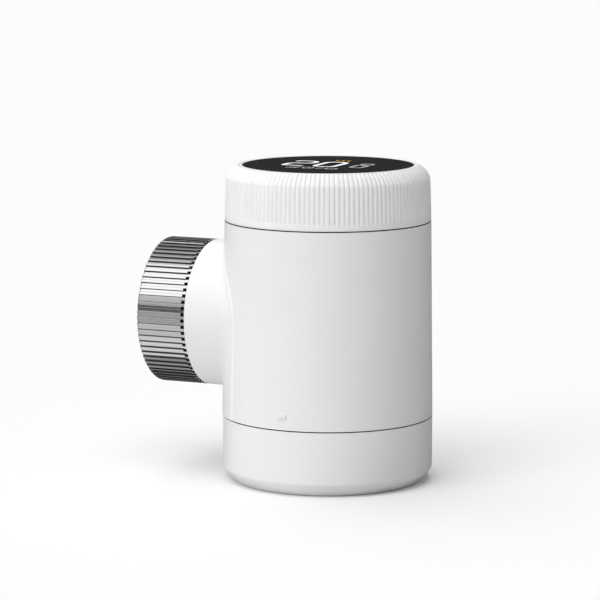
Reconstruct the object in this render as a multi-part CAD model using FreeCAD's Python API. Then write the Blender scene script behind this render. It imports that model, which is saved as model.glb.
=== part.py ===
import FreeCAD, Part
import math
import os

# Smart radiator thermostat, in millimetres.
# The origin is the centre of the foot's underside, on the drum's axis, with +Z up. The neck and its
# coupling nut point along -X, towards the radiator valve, and the front of the drum faces -Y.
# Each function makes one physical piece at rest. A distance whose name ends in _d is measured from
# the drum's axis towards -X, and one whose name ends in _z is a height above the foot.

# Case
case_radius_low = 26.5
case_taper = 0.57
case_wall = 1.8
dial_height = 13.89
seam_gap = 0.25
panel_gap = 0.08
frame_gap = 0.15

# Foot and bayonet
foot_taper = 0.08
foot_height = 3.2
foot_inset = 2.52
foot_bulge_depth = 0.42
base_floor = 2.2
lug_count = 3
lug_width_deg = 14.0
lug_height = 2.0
lug_length = 1.7
lug_drop = 5.85
lug_gap = 0.3
base_turn_deg = 20.0

# Raised mark low on the front of the sleeve
mark_x = -0.9
mark_rise = 3.75
mark_length = 2.3
mark_width = 1.55
mark_proud = 0.18

# Neck, and the inverted-U panel that carries it
neck_length = 4.9
neck_wall = 2.0
neck_end_wall = 1.8
neck_fillet = 0.5
arch_margin = 0.8

# Coupling nut
nut_gap = 0.2
nut_length = 13.0
nut_lip = 2.6
nut_running_gap = 0.3
rib_count = 72
rib_depth = 0.5
rib_share = 0.36
floor_share = 0.52
notch_length = 0.67
notch_depth = 1.4
nut_bevel = 0.3
thread_radius = 14.2
relief_length = 1.8
relief_depth = 0.3
mouth_chamfer = 0.7

# Valve adapter and its retaining ring
adapter_clearance = 1.9
adapter_wall = 1.8
adapter_flange = 1.7
adapter_flange_gap = 0.8
adapter_nose = 0.5
ring_thickness = 0.9
ring_seat = 0.45
ring_bite = 1.6
ring_play = 0.25

# Dial
dial_taper = 0.395
dial_wall = 1.9
dial_band = 1.3
band_proud = 0.05
groove_count = 132
groove_depth = 0.2
groove_width = 0.68
groove_runout = 0.45
shoulder_drop = 3.04
shoulder_reach = 2.765
shoulder_bulge = 0.37
shoulder_steps = 3
rim_width = 1.42
rim_thickness = 2.0
dial_haunch = 2.0
dial_running_gap = 0.15
dial_rib = 1.5

# Display window, its carrier and its press-in travel
window_gap = 0.15
window_recess = 0.02
window_thickness = 1.4
press_travel = 0.4
carrier_inset = 0.3
carrier_wall = 1.5
carrier_height = 3.5
slide_gap = 0.3
leg_count = 3
leg_width_deg = 14.0
hook_height = 1.6
hook_bite = 1.0
hook_gap = 0.1
spring_thickness = 0.25
spring_width = 1.1
spring_length = 6.0
spring_height = 4.3

# Top deck
deck_recess = 2.36
hub_wall = 1.2
hub_drop = 0.75
deck_floor = 1.5
lip_count = 3
lip_bite = 0.65
lip_height = 1.0
lip_width_deg = 20.0
ledge_width = 1.3
ledge_height = 1.4
post_side = 3.2
post_inset = 2.2
peg_side = 1.6
peg_proud = 0.6
tower_count = 3
tower_radius = 2.4
tower_inset = 5.08
tower_height = 4.4
tower_step = 1.0
detent_angle = 90.0
detent_width_deg = 30.0
detent_height = 1.4
detent_thickness = 0.3
detent_nose_radius = 0.35
encoder_slots = 12
encoder_height = 3.0
encoder_thickness = 0.8
encoder_slot_height = 1.2
encoder_rise = 5.1

# Boards
board_thickness = 1.4
board_gap = 0.4
display_board_thickness = 1.2
display_board_gap = 0.8
display_switch_gap = 0.7
display_margin = 0.2
display_height = 2.2
display_gap = 0.3
switch_side = 3.4
switch_height = 1.4
switch_inset = 2.7
button_side = 1.8
button_proud = 0.5
button_gap = 0.15
radio_length = 16.0
radio_width = 12.0
radio_height = 1.6
radio_x = 7.0
radio_header_gap = 1.0
header_length = 10.2
header_width = 4.0
header_block = 2.5
header_inset = 4.5
pin_side = 0.6
pin_pitch = 2.0
pins_per_row = 5

# Cells
cell_radius = 7.25
cell_length = 50.5
cell_gap = 0.3
cell_web = 1.1
cell_wall = 2.28
nub_radius = 2.75
nub_height = 1.2
bridge_height = 2.8
bridge_gap = 0.2
contact_height = 1.3
contact_thickness = 0.4
contact_width = 6.0

# Chassis
skirt_rise = 0.8
skirt_wall = 1.2
bay_wall = 1.45
bay_floor_rise = 1.55
bay_floor = 1.5
bay_roof = 1.71
flange_height = 2.1
flange_rise = 0.3
chassis_top = 2.0
mount_radius = 2.0

# Valve drive: motor, two gear stages, turning nut and sliding plunger
gear_module = 0.5
pressure_deg = 25.0
backlash = 0.1
pinion_teeth = 12
idler_teeth = 36
spindle_teeth = 44
idler_angle = 240.0
motor_angle = 5.0
plate_thickness = 1.6
gear_play = 0.2
spindle_collar = 0.4
spindle_width = 3.0
stage_gap = 0.7
idler_width = 2.4
idler_hub_radius = 2.2
rear_gap = 0.9
spindle_hub_gap = 0.3
idler_floor_gap = 0.92
journal_radius = 3.6
journal_gap = 0.07
washer_thickness = 0.5
washer_width = 1.4
axle_radius = 1.0
axle_gap = 0.05
pillar_radius = 1.6
pillar_gap = 0.9
pillar_margin = 1.0
foot_length = 5.3
pillar_angles = (90.0, 10.0, 170.0)
foot_angles = (50.0, 130.0, 270.0)
motor_radius = 6.0
motor_flat = 5.0
motor_boss_radius = 2.0
motor_boss = 0.8
motor_gap = 0.2
shaft_radius = 0.5
screw_radius = 2.7
screw_tail = 19.35
screw_gap = 0.05
head_radius = 5.0
head_length = 4.1
head_gap = 0.25
key_width = 1.6
key_height = 0.9
guide_wall = 1.5
plunger_travel = 4.5

# Small screws, each with its own clearance hole
bolt_radius = 0.85
bolt_head_radius = 1.6
bolt_head_height = 1.2
bolt_grip_length = 3.6
bolt_gap = 0.05

# Gears, and the neck and coupling that go round them
spindle_to_idler = gear_module * (spindle_teeth + pinion_teeth) / 2
idler_to_motor = gear_module * (idler_teeth + pinion_teeth) / 2
spindle_tip = gear_module * (spindle_teeth / 2 + 1)
spindle_hub_radius = spindle_to_idler - gear_module * (idler_teeth / 2 + 1) - spindle_hub_gap
pillar_reach = spindle_tip + pillar_gap + pillar_radius
cover_radius = pillar_reach + pillar_radius + bolt_radius
neck_bore = pillar_reach + pillar_radius + pillar_margin
neck_radius = neck_bore + neck_wall
arch_radius = neck_radius + arch_margin
adapter_radius = thread_radius - adapter_clearance
adapter_bore = adapter_radius - adapter_wall
adapter_flange_radius = neck_bore - adapter_flange_gap

# Levels: the cells from the foot up, the valve drive down from their roof to the lower seam, and up
# through the boards to the dial's rim
cell_bottom_z = base_floor + bridge_height + bridge_gap
cell_top_z = cell_bottom_z + cell_length
cell_bay_top_z = cell_top_z + contact_height
chassis_top_z = cell_bay_top_z + chassis_top
skirt_bottom_z = cell_bottom_z + skirt_rise
bay_roof_z = chassis_top_z - bay_roof
neck_z = bay_roof_z - frame_gap - neck_bore
idler_z = neck_z + spindle_to_idler * math.sin(math.radians(idler_angle))
bay_floor_z = idler_z - gear_module * (idler_teeth / 2 + 1) - idler_floor_gap
lower_seam_z = bay_floor_z - bay_floor_rise
sleeve_bottom_z = lower_seam_z + seam_gap / 2
base_top_z = lower_seam_z - seam_gap / 2
lug_z = lower_seam_z - lug_drop
mark_z = lower_seam_z + mark_rise
board_z = chassis_top_z + tower_step
board_top_z = board_z + board_thickness
deck_z = chassis_top_z + tower_height
deck_top_z = deck_z + deck_floor
upper_seam_z = deck_z + deck_recess
sleeve_top_z = upper_seam_z - seam_gap / 2
dial_bottom_z = upper_seam_z + seam_gap / 2
encoder_z = dial_bottom_z + encoder_rise
detent_z = encoder_z + encoder_slot_height
hook_bottom_z = deck_top_z + spring_height
hook_top_z = hook_bottom_z + hook_height
case_height = upper_seam_z + dial_height
dial_wall_top_z = case_height - shoulder_drop
dial_flange_z = case_height - rim_thickness
hub_top_z = dial_flange_z - hub_drop
window_bottom_z = case_height - window_recess - window_thickness
display_top_z = window_bottom_z - press_travel - display_gap
display_z = display_top_z - display_height
display_board_z = display_z - display_board_thickness
button_top_z = display_z + switch_height + button_proud

# Radii about the drum's axis, from the case inwards
foot_radius = case_radius_low - foot_taper
base_bore = foot_radius - case_wall
case_radius_high = case_radius_low - case_taper
chassis_radius = case_radius_high - case_wall - frame_gap
tower_reach = chassis_radius - tower_inset
dial_radius_high = case_radius_high - dial_taper
dial_inner = dial_radius_high - dial_wall
dial_bore = dial_radius_high - shoulder_reach - rim_width
window_radius = dial_bore - window_gap
carrier_radius = window_radius - carrier_inset
carrier_bore = carrier_radius - carrier_wall
hub_bore = carrier_radius + slide_gap
hub_radius = hub_bore + hub_wall
detent_seat = hub_radius - hub_wall / 2
dial_rib_bore = hub_radius + dial_running_gap
display_board_radius = carrier_bore - display_board_gap
post_reach = display_board_radius - post_inset
switch_reach = display_board_radius - switch_inset
display_depth = 2 * (switch_reach - switch_side / 2 - display_switch_gap)
display_width = 2 * math.sqrt((display_board_radius - display_margin) ** 2 - (display_depth / 2) ** 2)
header_y = header_inset - display_depth / 2
radio_y = header_y + header_width / 2 + radio_header_gap + radio_width / 2

# Cells against the case's wall
cell_bore = cell_radius + cell_gap
cell_y = cell_bore + cell_web / 2
cell_x = math.sqrt((chassis_radius - cell_wall - cell_bore) ** 2 - cell_y ** 2)
bay_wall_x = cell_x - cell_bore - bay_wall

# From the neck's end back through the gears to the motor, which fills the room before the cells
neck_reach = case_radius_low + neck_length
adapter_flange_d = neck_reach - neck_end_wall - adapter_flange
front_plate_d = adapter_flange_d - foot_length
plate_back_d = front_plate_d - plate_thickness
spindle_front_d = plate_back_d - gear_play
spindle_wheel_d = spindle_front_d - spindle_collar - spindle_width
idler_wheel_d = spindle_wheel_d - stage_gap - idler_width
cover_front_d = idler_wheel_d - rear_gap
cover_back_d = cover_front_d - plate_thickness
motor_back_d = motor_gap - bay_wall_x
motor_length = cover_back_d - motor_back_d
head_d = front_plate_d + head_gap
guide_bore = head_radius + head_gap
guide_radius = guide_bore + guide_wall
guide_end_d = head_d + plunger_travel + head_length / 4

# From the neck's end out to the nut's mouth
nut_start_d = neck_reach + nut_gap
nut_end_d = nut_start_d + nut_length
lip_end_d = nut_start_d + nut_lip
ring_d = lip_end_d + ring_play
adapter_end_d = ring_d + ring_thickness + adapter_nose
bolt_hole = bolt_radius + bolt_gap

tower_angles = tuple(90.0 + 360.0 * i / tower_count for i in range(tower_count))
leg_angles = tuple(30.0 + 360.0 * i / leg_count for i in range(leg_count))
lip_angles = tuple(360.0 * i / lip_count for i in range(lip_count))
post_angles = (0.0, 180.0)
lug_angles = tuple(30.0 + 360.0 * i / lug_count for i in range(lug_count))


def vec(x, y, z):
    return FreeCAD.Vector(x, y, z)


def polar(radius, angle_deg):
    """Point at a radius and angle in a plane, as two coordinates."""
    angle = math.radians(angle_deg)
    return radius * math.cos(angle), radius * math.sin(angle)


def case_radius(z):
    """Outer radius of the drum at a height: one straight draft from seam to seam."""
    share = (z - lower_seam_z) / (upper_seam_z - lower_seam_z)
    return case_radius_low + share * (case_radius_high - case_radius_low)


def disc(z_low, z_high, radius, x=0.0, y=0.0):
    return Part.makeCylinder(radius, z_high - z_low, vec(x, y, z_low), vec(0, 0, 1))


def ring(z_low, z_high, inner, outer, x=0.0, y=0.0):
    return disc(z_low, z_high, outer, x, y).cut(disc(z_low, z_high, inner, x, y))


def block(x_low, x_high, y_low, y_high, z_low, z_high):
    return Part.makeBox(x_high - x_low, y_high - y_low, z_high - z_low, vec(x_low, y_low, z_low))


def square_post(x, y, side, z_low, z_high):
    return block(x - side / 2, x + side / 2, y - side / 2, y + side / 2, z_low, z_high)


def rod(near_d, far_d, radius, y=0.0, z=0.0):
    """Cylinder along the valve axis's direction, its centre offset from that axis by y and z."""
    return Part.makeCylinder(radius, far_d - near_d, vec(-near_d, y, neck_z + z), vec(-1, 0, 0))


def tube(near_d, far_d, inner, outer, y=0.0, z=0.0):
    return rod(near_d, far_d, outer, y, z).cut(rod(near_d, far_d, inner, y, z))


def sector(z_low, z_high, inner, outer, middle_deg, width_deg):
    """Piece of a ring about the drum's axis."""
    whole = Part.makeCylinder(outer, z_high - z_low, vec(0, 0, z_low), vec(0, 0, 1), width_deg)
    core = disc(z_low, z_high, inner)
    piece = whole.cut(core)
    piece.rotate(vec(0, 0, 0), vec(0, 0, 1), middle_deg - width_deg / 2)
    return piece


def turned(points):
    """Solid of revolution about the drum's axis from (radius, z) points."""
    wire = Part.makePolygon([vec(r, 0, z) for r, z in points + points[:1]])
    return Part.Face(wire).revolve(vec(0, 0, 0), vec(0, 0, 1), 360)


def fused(first, *others):
    return first.fuse(list(others)) if others else first


def arc_edge(start, end, bulge):
    """Arc in the XZ plane from start to end that stands out to the right of its chord by bulge."""
    (r0, z0), (r1, z1) = start, end
    chord = math.hypot(r1 - r0, z1 - z0)
    middle = ((r0 + r1) / 2 + bulge * (z1 - z0) / chord, (z0 + z1) / 2 - bulge * (r1 - r0) / chord)
    return Part.Arc(vec(r0, 0, z0), vec(middle[0], 0, middle[1]), vec(r1, 0, z1)).toShape()


def line_edges(points):
    return [Part.LineSegment(vec(*a), vec(*b)).toShape() for a, b in zip(points, points[1:])]


def bolt(point, direction, grip=bolt_grip_length):
    """Pan-head screw: its head's seat lies at the point, and its shank runs along the direction."""
    shank = Part.makeCylinder(bolt_radius, grip, point, direction)
    head = Part.makeCylinder(bolt_head_radius, bolt_head_height, point, direction * -1)
    return shank.fuse(head)


def bent_strip(points, thickness):
    """Side profile of a leaf: a line of (along, up) points, given its thickness upwards."""
    lower = [(a, u) for a, u in points]
    upper = [(a, u + thickness) for a, u in reversed(points)]
    return lower + upper


# Drum


def drum_shell(z_low, z_high):
    """Tapered wall of the drum between two heights."""
    return turned([
        (case_radius(z_low) - case_wall, z_low),
        (case_radius(z_low), z_low),
        (case_radius(z_high), z_high),
        (case_radius(z_high) - case_wall, z_high),
    ])


def drum_core(z_low, z_high):
    """What the drum's wall encloses between two heights."""
    return turned([
        (0.0, z_low),
        (case_radius(z_low) - case_wall, z_low),
        (case_radius(z_high) - case_wall, z_high),
        (0.0, z_high),
    ])


def arch_prism(radius):
    """Inverted U seen along the neck: a half round over straight sides down past the lower seam."""
    span = case_radius_low * 2
    legs = block(-span, 0.0, -radius, radius, -case_height, neck_z)
    return rod(0.0, span, radius).fuse(legs)


def make_outer_sleeve():
    wall = drum_shell(sleeve_bottom_z, sleeve_top_z)
    ledge_outer = case_radius(deck_z) - case_wall + case_wall / 2
    ledge = ring(deck_z - ledge_height, deck_z, case_radius(deck_z) - case_wall - ledge_width, ledge_outer)
    face_y = -case_radius(mark_z) - mark_proud
    depth = case_wall / 2
    half = (mark_length - mark_width) / 2
    pill = Part.makeBox(2 * half, depth, mark_width, vec(mark_x - half, face_y, mark_z - mark_width / 2))
    for side in (-half, half):
        end = Part.makeCylinder(mark_width / 2, depth, vec(mark_x + side, face_y, mark_z), vec(0, 1, 0))
        pill = pill.fuse(end)
    return wall.fuse([ledge, pill]).cut(arch_prism(arch_radius)).removeSplitter()


def neck_root_edges(shape):
    """Edges where the neck leaves the panel's outer face."""
    found = []
    for edge in shape.Edges:
        points = edge.discretize(9)
        on_neck = all(abs(math.hypot(p.y, p.z - neck_z) - neck_radius) < 0.01 for p in points)
        on_drum = all(abs(math.hypot(p.x, p.y) - case_radius(p.z)) < 0.05 for p in points)
        if on_neck and on_drum:
            found.append(edge)
    return found


def make_neck_saddle():
    panel = drum_shell(sleeve_bottom_z, sleeve_top_z).common(arch_prism(arch_radius - panel_gap))
    neck = rod(0.0, neck_reach, neck_radius).cut(drum_core(sleeve_bottom_z, sleeve_top_z))
    saddle = panel.fuse(neck).removeSplitter()
    room = min(arch_margin - panel_gap, neck_z - neck_radius - sleeve_bottom_z)
    saddle = saddle.makeFillet(min(neck_fillet, 0.7 * room), neck_root_edges(saddle))
    hollow = rod(0.0, neck_reach - neck_end_wall, neck_bore)
    outlet = rod(0.0, neck_reach + nut_gap, adapter_radius + panel_gap)
    return saddle.cut([hollow, outlet])


def make_base_cap():
    flat = foot_radius - foot_inset
    corner_z = base_floor * 2
    outer = [(flat, 0.0), (0.0, 0.0), (0.0, base_floor), (flat - foot_inset / 2, base_floor)]
    inner = [(base_bore, corner_z), (base_bore, base_top_z), (case_radius_low, base_top_z)]
    points = [(r, 0, z) for r, z in outer + inner + [(foot_radius, foot_height)]]
    edges = line_edges(points) + [arc_edge((flat, 0.0), (foot_radius, foot_height), foot_bulge_depth)]
    cup = Part.Face(Part.Wire(Part.__sortEdges__(edges))).revolve(vec(0, 0, 0), vec(0, 0, 1), 360)
    lugs = [
        sector(lug_z, lug_z + lug_height, base_bore - lug_length, base_bore + case_wall / 2, a, lug_width_deg)
        for a in lug_angles
    ]
    return fused(cup, *lugs)


def make_bridge_contact():
    """Sprung strip on the base's floor that joins the lower ends of both cells."""
    foot_half = cell_y / 3
    rise = cell_y * 0.7
    tip = cell_y + nub_radius
    top = base_floor + bridge_height - contact_thickness
    half = [(foot_half, base_floor), (rise, top), (tip, top)]
    profile = bent_strip([(-y, z) for y, z in reversed(half)] + half, contact_thickness)
    x_low = cell_x - contact_width / 2
    wire = Part.makePolygon([vec(x_low, y, z) for y, z in profile + profile[:1]])
    return Part.Face(wire).extrude(vec(contact_width, 0, 0))


# Cells and their contacts


def make_cell(side, nub_up):
    """One cylindrical cell, standing, with its positive nub at the top or the bottom."""
    y = side * cell_y
    can_low = cell_bottom_z if nub_up else cell_bottom_z + nub_height
    can_high = cell_top_z - nub_height if nub_up else cell_top_z
    can = disc(can_low, can_high, cell_radius, cell_x, y)
    nub = disc(can_high, cell_top_z, nub_radius, cell_x, y) if nub_up else None
    nub = nub or disc(cell_bottom_z, can_low, nub_radius, cell_x, y)
    return can.fuse(nub)


def make_battery_contacts():
    """Two leaves under the battery bay's roof, one over each cell."""
    leaves = []
    for side in (-1, 1):
        y = side * cell_y
        reach = nub_radius
        low = cell_top_z
        high = cell_bay_top_z - contact_thickness
        line = [(y - 2 * reach, high), (y - reach, high), (y, low), (y + reach, low)]
        profile = bent_strip(line, contact_thickness)
        x_low = cell_x - contact_width / 2
        wire = Part.makePolygon([vec(x_low, a, z) for a, z in profile + profile[:1]])
        leaves.append(Part.Face(wire).extrude(vec(contact_width, 0, 0)))
    return Part.makeCompound(leaves)


# Chassis


def make_chassis():
    flange_low = sleeve_bottom_z + flange_rise
    body = disc(skirt_bottom_z, chassis_top_z, chassis_radius)
    flange = disc(flange_low, flange_low + flange_height, case_radius_low - case_wall - frame_gap)
    bay = block(-case_radius_low, bay_wall_x, -case_radius_low, case_radius_low, bay_floor_z, bay_roof_z)
    groove_floor = base_bore - lug_length - lug_gap
    pocket = disc(0.0, bay_floor_z - bay_floor, groove_floor - skirt_wall)
    pocket = pocket.common(block(-case_radius_low, bay_wall_x - bay_wall, -case_radius_low, case_radius_low,
                                 0.0, bay_floor_z))
    cells = [disc(0.0, cell_bay_top_z, cell_bore, cell_x, side * cell_y) for side in (-1, 1)]
    shape = body.fuse(flange).cut([bay, pocket] + cells)

    turn = base_turn_deg
    slack = math.degrees(lug_gap / base_bore)
    grooves = []
    for angle in lug_angles:
        run_middle = angle + turn / 2
        run_width = lug_width_deg + turn + 2 * slack
        grooves.append(sector(lug_z - lug_gap, lug_z + lug_height + lug_gap, groove_floor, base_bore,
                              run_middle, run_width))
        grooves.append(sector(0.0, lug_z + lug_height, groove_floor, base_bore,
                              angle + turn, lug_width_deg + 2 * slack))
    shape = shape.cut(grooves)

    towers = []
    holes = []
    for angle in tower_angles:
        x, y = polar(tower_reach, angle)
        towers.append(disc(chassis_top_z, deck_z, tower_radius, x, y))
        towers.append(disc(chassis_top_z, board_z, tower_radius + tower_step, x, y))
        holes.append(disc(deck_z - bolt_grip_length, deck_z, bolt_hole, x, y))
    for angle in pillar_angles:
        y, z = polar(pillar_reach, angle)
        towers.append(rod(-bay_wall_x, cover_back_d, mount_radius, y, z))
        holes.append(rod(cover_back_d - bolt_grip_length, cover_back_d, bolt_hole, y, z))
    return fused(shape, *towers).cut(holes)


# Dial


def dial_wall_radius(z):
    """Dial's outer radius on the grooved wall: it falls in with the square of the height."""
    share = (z - dial_bottom_z) / (dial_wall_top_z - dial_bottom_z)
    return case_radius_high - band_proud + (dial_radius_high - case_radius_high + band_proud) * share ** 2


def shoulder_point(share):
    """Point (radius, z) on the shoulder's arc, from the wall's top at 0 to the rim at 1."""
    r0, z0 = dial_radius_high, dial_wall_top_z
    r1, z1 = dial_radius_high - shoulder_reach, case_height
    chord = math.hypot(r1 - r0, z1 - z0)
    arc_radius = chord ** 2 / (8 * shoulder_bulge) + shoulder_bulge / 2
    out_r, out_z = (z1 - z0) / chord, -(r1 - r0) / chord
    drop = arc_radius - shoulder_bulge
    centre_r, centre_z = (r0 + r1) / 2 - out_r * drop, (z0 + z1) / 2 - out_z * drop
    half = math.asin(chord / 2 / arc_radius)
    middle = math.atan2(out_z, out_r)
    angle = middle + half * (2 * share - 1)
    return centre_r + arc_radius * math.cos(angle), centre_z + arc_radius * math.sin(angle)


def grooved_outline(z, radius, depth):
    """Closed outline of the dial at one height, with one V notch for each groove."""
    half = math.degrees(groove_width / 2 / radius)
    points = []
    for i in range(groove_count):
        middle = 360.0 * i / groove_count
        points.append(vec(*polar(radius, middle - half), z))
        points.append(vec(*polar(radius - depth, middle), z))
        points.append(vec(*polar(radius, middle + half), z))
    return Part.makePolygon(points + points[:1])


def make_dial_ring():
    """Grooved ring: notched outlines joined by straight faces, over a plain band, then bored out."""
    start_z = dial_bottom_z + dial_band
    levels = [(start_z, dial_wall_radius(start_z), 0.0)]
    levels.append((start_z + groove_runout, dial_wall_radius(start_z + groove_runout), groove_depth))
    for step in range(shoulder_steps):
        radius, z = shoulder_point(step / shoulder_steps)
        levels.append((z, radius, groove_depth))
    radius, z = shoulder_point(1.0)
    levels.append((z, radius, 0.0))
    outlines = [grooved_outline(*level) for level in levels]
    grooved = Part.makeLoft(outlines, True, True)
    band = disc(dial_bottom_z, start_z, case_radius_high)
    hollow = turned([
        (0.0, dial_bottom_z - seam_gap),
        (dial_rib_bore, dial_bottom_z - seam_gap),
        (dial_rib_bore, dial_bottom_z + dial_rib),
        (dial_inner, dial_bottom_z + dial_rib),
        (dial_inner, dial_flange_z - dial_haunch),
        (dial_bore + (dial_inner - dial_bore) / 2, dial_flange_z),
        (dial_bore, dial_flange_z),
        (dial_bore, case_height + seam_gap),
        (0.0, case_height + seam_gap),
    ])
    return grooved.fuse(band).cut(hollow)


def make_encoder_ring():
    outer = dial_inner - panel_gap
    body = ring(encoder_z, encoder_z + encoder_height, outer - encoder_thickness, outer)
    width = 180.0 / encoder_slots
    slots = [
        sector(encoder_z, encoder_z + encoder_slot_height, outer - 2 * encoder_thickness,
               outer + encoder_thickness, 360.0 * i / encoder_slots, width)
        for i in range(encoder_slots)
    ]
    return body.cut(slots)


# Window


def make_display_window():
    top_z = window_bottom_z + window_thickness
    edge = window_gap
    return turned([
        (0.0, window_bottom_z),
        (window_radius, window_bottom_z),
        (window_radius, top_z - edge),
        (window_radius - edge, top_z),
        (0.0, top_z),
    ])


def make_window_carrier():
    """Guide ring under the window, with hooked legs and the tab that presses the switch."""
    ring_low = window_bottom_z - carrier_height
    shape = ring(ring_low, window_bottom_z, carrier_bore, carrier_radius)
    legs = []
    for angle in leg_angles:
        legs.append(sector(hook_bottom_z, ring_low, carrier_bore, carrier_radius, angle, leg_width_deg))
        legs.append(sector(hook_bottom_z, hook_top_z, carrier_bore, carrier_radius + hook_bite,
                           angle, leg_width_deg))
    tab = block(-switch_side / 2, switch_side / 2, switch_reach - switch_side / 2,
                carrier_bore + carrier_wall / 2, button_top_z, window_bottom_z)
    return shape.fuse(legs + [tab])


def make_switch_button():
    return square_post(0.0, switch_reach, button_side, button_top_z - 2 * button_proud, button_top_z)


def make_tact_switch():
    half = switch_side / 2
    can = block(-half, half, switch_reach - half, switch_reach + half, display_z, display_z + switch_height)
    well_low = button_top_z - 2 * button_proud - press_travel - button_gap
    well_side = button_side + 2 * button_gap
    return can.cut(square_post(0.0, switch_reach, well_side, well_low, display_z + switch_height))


def make_return_springs():
    """Bent leaves that stand on the deck's floor and push the window's legs up."""
    springs = []
    for angle in leg_angles:
        half = spring_length / 2
        top = hook_bottom_z - spring_thickness
        line = [(-half, deck_top_z), (-half / 3, deck_top_z), (half / 3, top), (half, top)]
        profile = bent_strip(line, spring_thickness)
        inner = carrier_bore + (carrier_wall - spring_width) / 2
        wire = Part.makePolygon([vec(inner, a, z) for a, z in profile + profile[:1]])
        leaf = Part.Face(wire).extrude(vec(spring_width, 0, 0))
        leaf.rotate(vec(0, 0, 0), vec(0, 0, 1), angle)
        springs.append(leaf)
    return Part.makeCompound(springs)


# Top deck and boards


def make_top_deck():
    """Floor, bearing hub for the dial and window, snap lips, board posts and clearance slots."""
    rim = case_radius(sleeve_top_z) - case_wall - panel_gap
    rim_top = sleeve_top_z - panel_gap
    shape = turned([
        (0.0, deck_z),
        (rim, deck_z),
        (rim, rim_top),
        (hub_radius, rim_top),
        (hub_radius, hub_top_z),
        (hub_bore, hub_top_z),
        (hub_bore, deck_top_z),
        (0.0, deck_top_z),
    ])
    lip_low = dial_bottom_z + dial_rib + dial_running_gap
    added = [
        sector(lip_low, lip_low + lip_height, hub_bore, dial_rib_bore + lip_bite, a, lip_width_deg)
        for a in lip_angles
    ]
    removed = []
    for angle in post_angles:
        x, y = polar(post_reach, angle)
        added.append(square_post(x, y, post_side, deck_top_z, display_board_z))
        added.append(square_post(x, y, peg_side, display_board_z, display_z + peg_proud))
    for angle in tower_angles:
        x, y = polar(tower_reach, angle)
        removed.append(disc(deck_z, deck_top_z, bolt_hole, x, y))
    slack_deg = math.degrees(slide_gap / hub_bore)
    for angle in leg_angles:
        removed.append(sector(hook_bottom_z - press_travel - hook_gap, hook_top_z + hook_gap,
                              carrier_bore, hub_radius + hub_wall, angle, leg_width_deg + 2 * slack_deg))
    pocket_low = detent_z - panel_gap
    pocket_high = detent_z + detent_height + panel_gap
    removed.append(sector(pocket_low, pocket_high, detent_seat, hub_radius + hub_wall, detent_angle,
                          detent_width_deg + slack_deg))
    removed.append(block(-header_length / 2 - board_gap, header_length / 2 + board_gap,
                         header_y - header_width / 2 - board_gap, header_y + header_width / 2 + board_gap,
                         deck_z, deck_top_z))
    return fused(shape, *added).cut(removed)


def make_detent_spring():
    """Curved leaf in the hub's pocket, with the nose that rides the encoder ring."""
    leaf = sector(detent_z, detent_z + detent_height, detent_seat, detent_seat + detent_thickness,
                  detent_angle, detent_width_deg)
    ring_bore = dial_inner - panel_gap - encoder_thickness
    x, y = polar(ring_bore - dial_running_gap - detent_nose_radius, detent_angle)
    return leaf.fuse(disc(detent_z, detent_z + detent_height, detent_nose_radius, x, y))


def make_main_board():
    radius = case_radius(deck_z) - case_wall - ledge_width - board_gap
    holes = []
    for angle in tower_angles:
        x, y = polar(tower_reach, angle)
        holes.append(disc(board_z, board_top_z, tower_radius + panel_gap, x, y))
    return disc(board_z, board_top_z, radius).cut(holes)


def make_radio_module():
    """Small shielded board on the main board."""
    y_low, y_high = radio_y - radio_width / 2, radio_y + radio_width / 2
    step = radio_height / 2
    left = radio_x - radio_length / 2
    base = block(left, left + radio_length, y_low, y_high, board_top_z, board_top_z + step)
    shield = block(left + step, left + radio_length * 0.75, y_low + step, y_high - step,
                   board_top_z + step, board_top_z + radio_height)
    return base.fuse(shield)


def make_pin_header():
    """Two rows of pins that carry the display board's lines down to the main board."""
    y_low = header_y - header_width / 2
    housing = block(-header_length / 2, header_length / 2, y_low, y_low + header_width,
                    board_top_z, board_top_z + header_block)
    pins = []
    for row in (-0.5, 0.5):
        for column in range(pins_per_row):
            x = (column - (pins_per_row - 1) / 2) * pin_pitch
            y = header_y + row * pin_pitch
            half = pin_side / 2
            pins.append(block(x - half, x + half, y - half, y + half, board_top_z, display_board_z))
    return fused(housing, *pins)


def make_display_board():
    holes = []
    for angle in post_angles:
        x, y = polar(post_reach, angle)
        holes.append(square_post(x, y, peg_side + 2 * panel_gap, display_board_z, display_z))
    return disc(display_board_z, display_z, display_board_radius).cut(holes)


def make_display_module():
    frame = block(-display_width / 2, display_width / 2, -display_depth / 2, display_depth / 2,
                  display_z, display_top_z)
    edge = display_height / 2
    glass = block(-display_width / 2 + edge, display_width / 2 - edge, -display_depth / 2 + edge,
                  display_depth / 2 - edge, display_top_z - display_gap, display_top_z)
    return frame.cut(glass)


# Coupling nut and valve adapter


def ribbed_outline(d, tip, floor, rib_part):
    """Closed outline of the nut at one distance: ribs with sloping flanks and flat floors between."""
    pitch = 360.0 / rib_count
    half_rib = pitch * rib_part / 2
    half_floor = pitch * floor_share / 2
    points = []
    for i in range(rib_count):
        middle = pitch * i
        for radius, offset in ((tip, -half_rib), (tip, half_rib), (floor, pitch / 2 - half_floor),
                               (floor, pitch / 2 + half_floor)):
            y, z = polar(radius, middle + offset)
            points.append(vec(-d, y, neck_z + z))
    return Part.makePolygon(points + points[:1])


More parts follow.
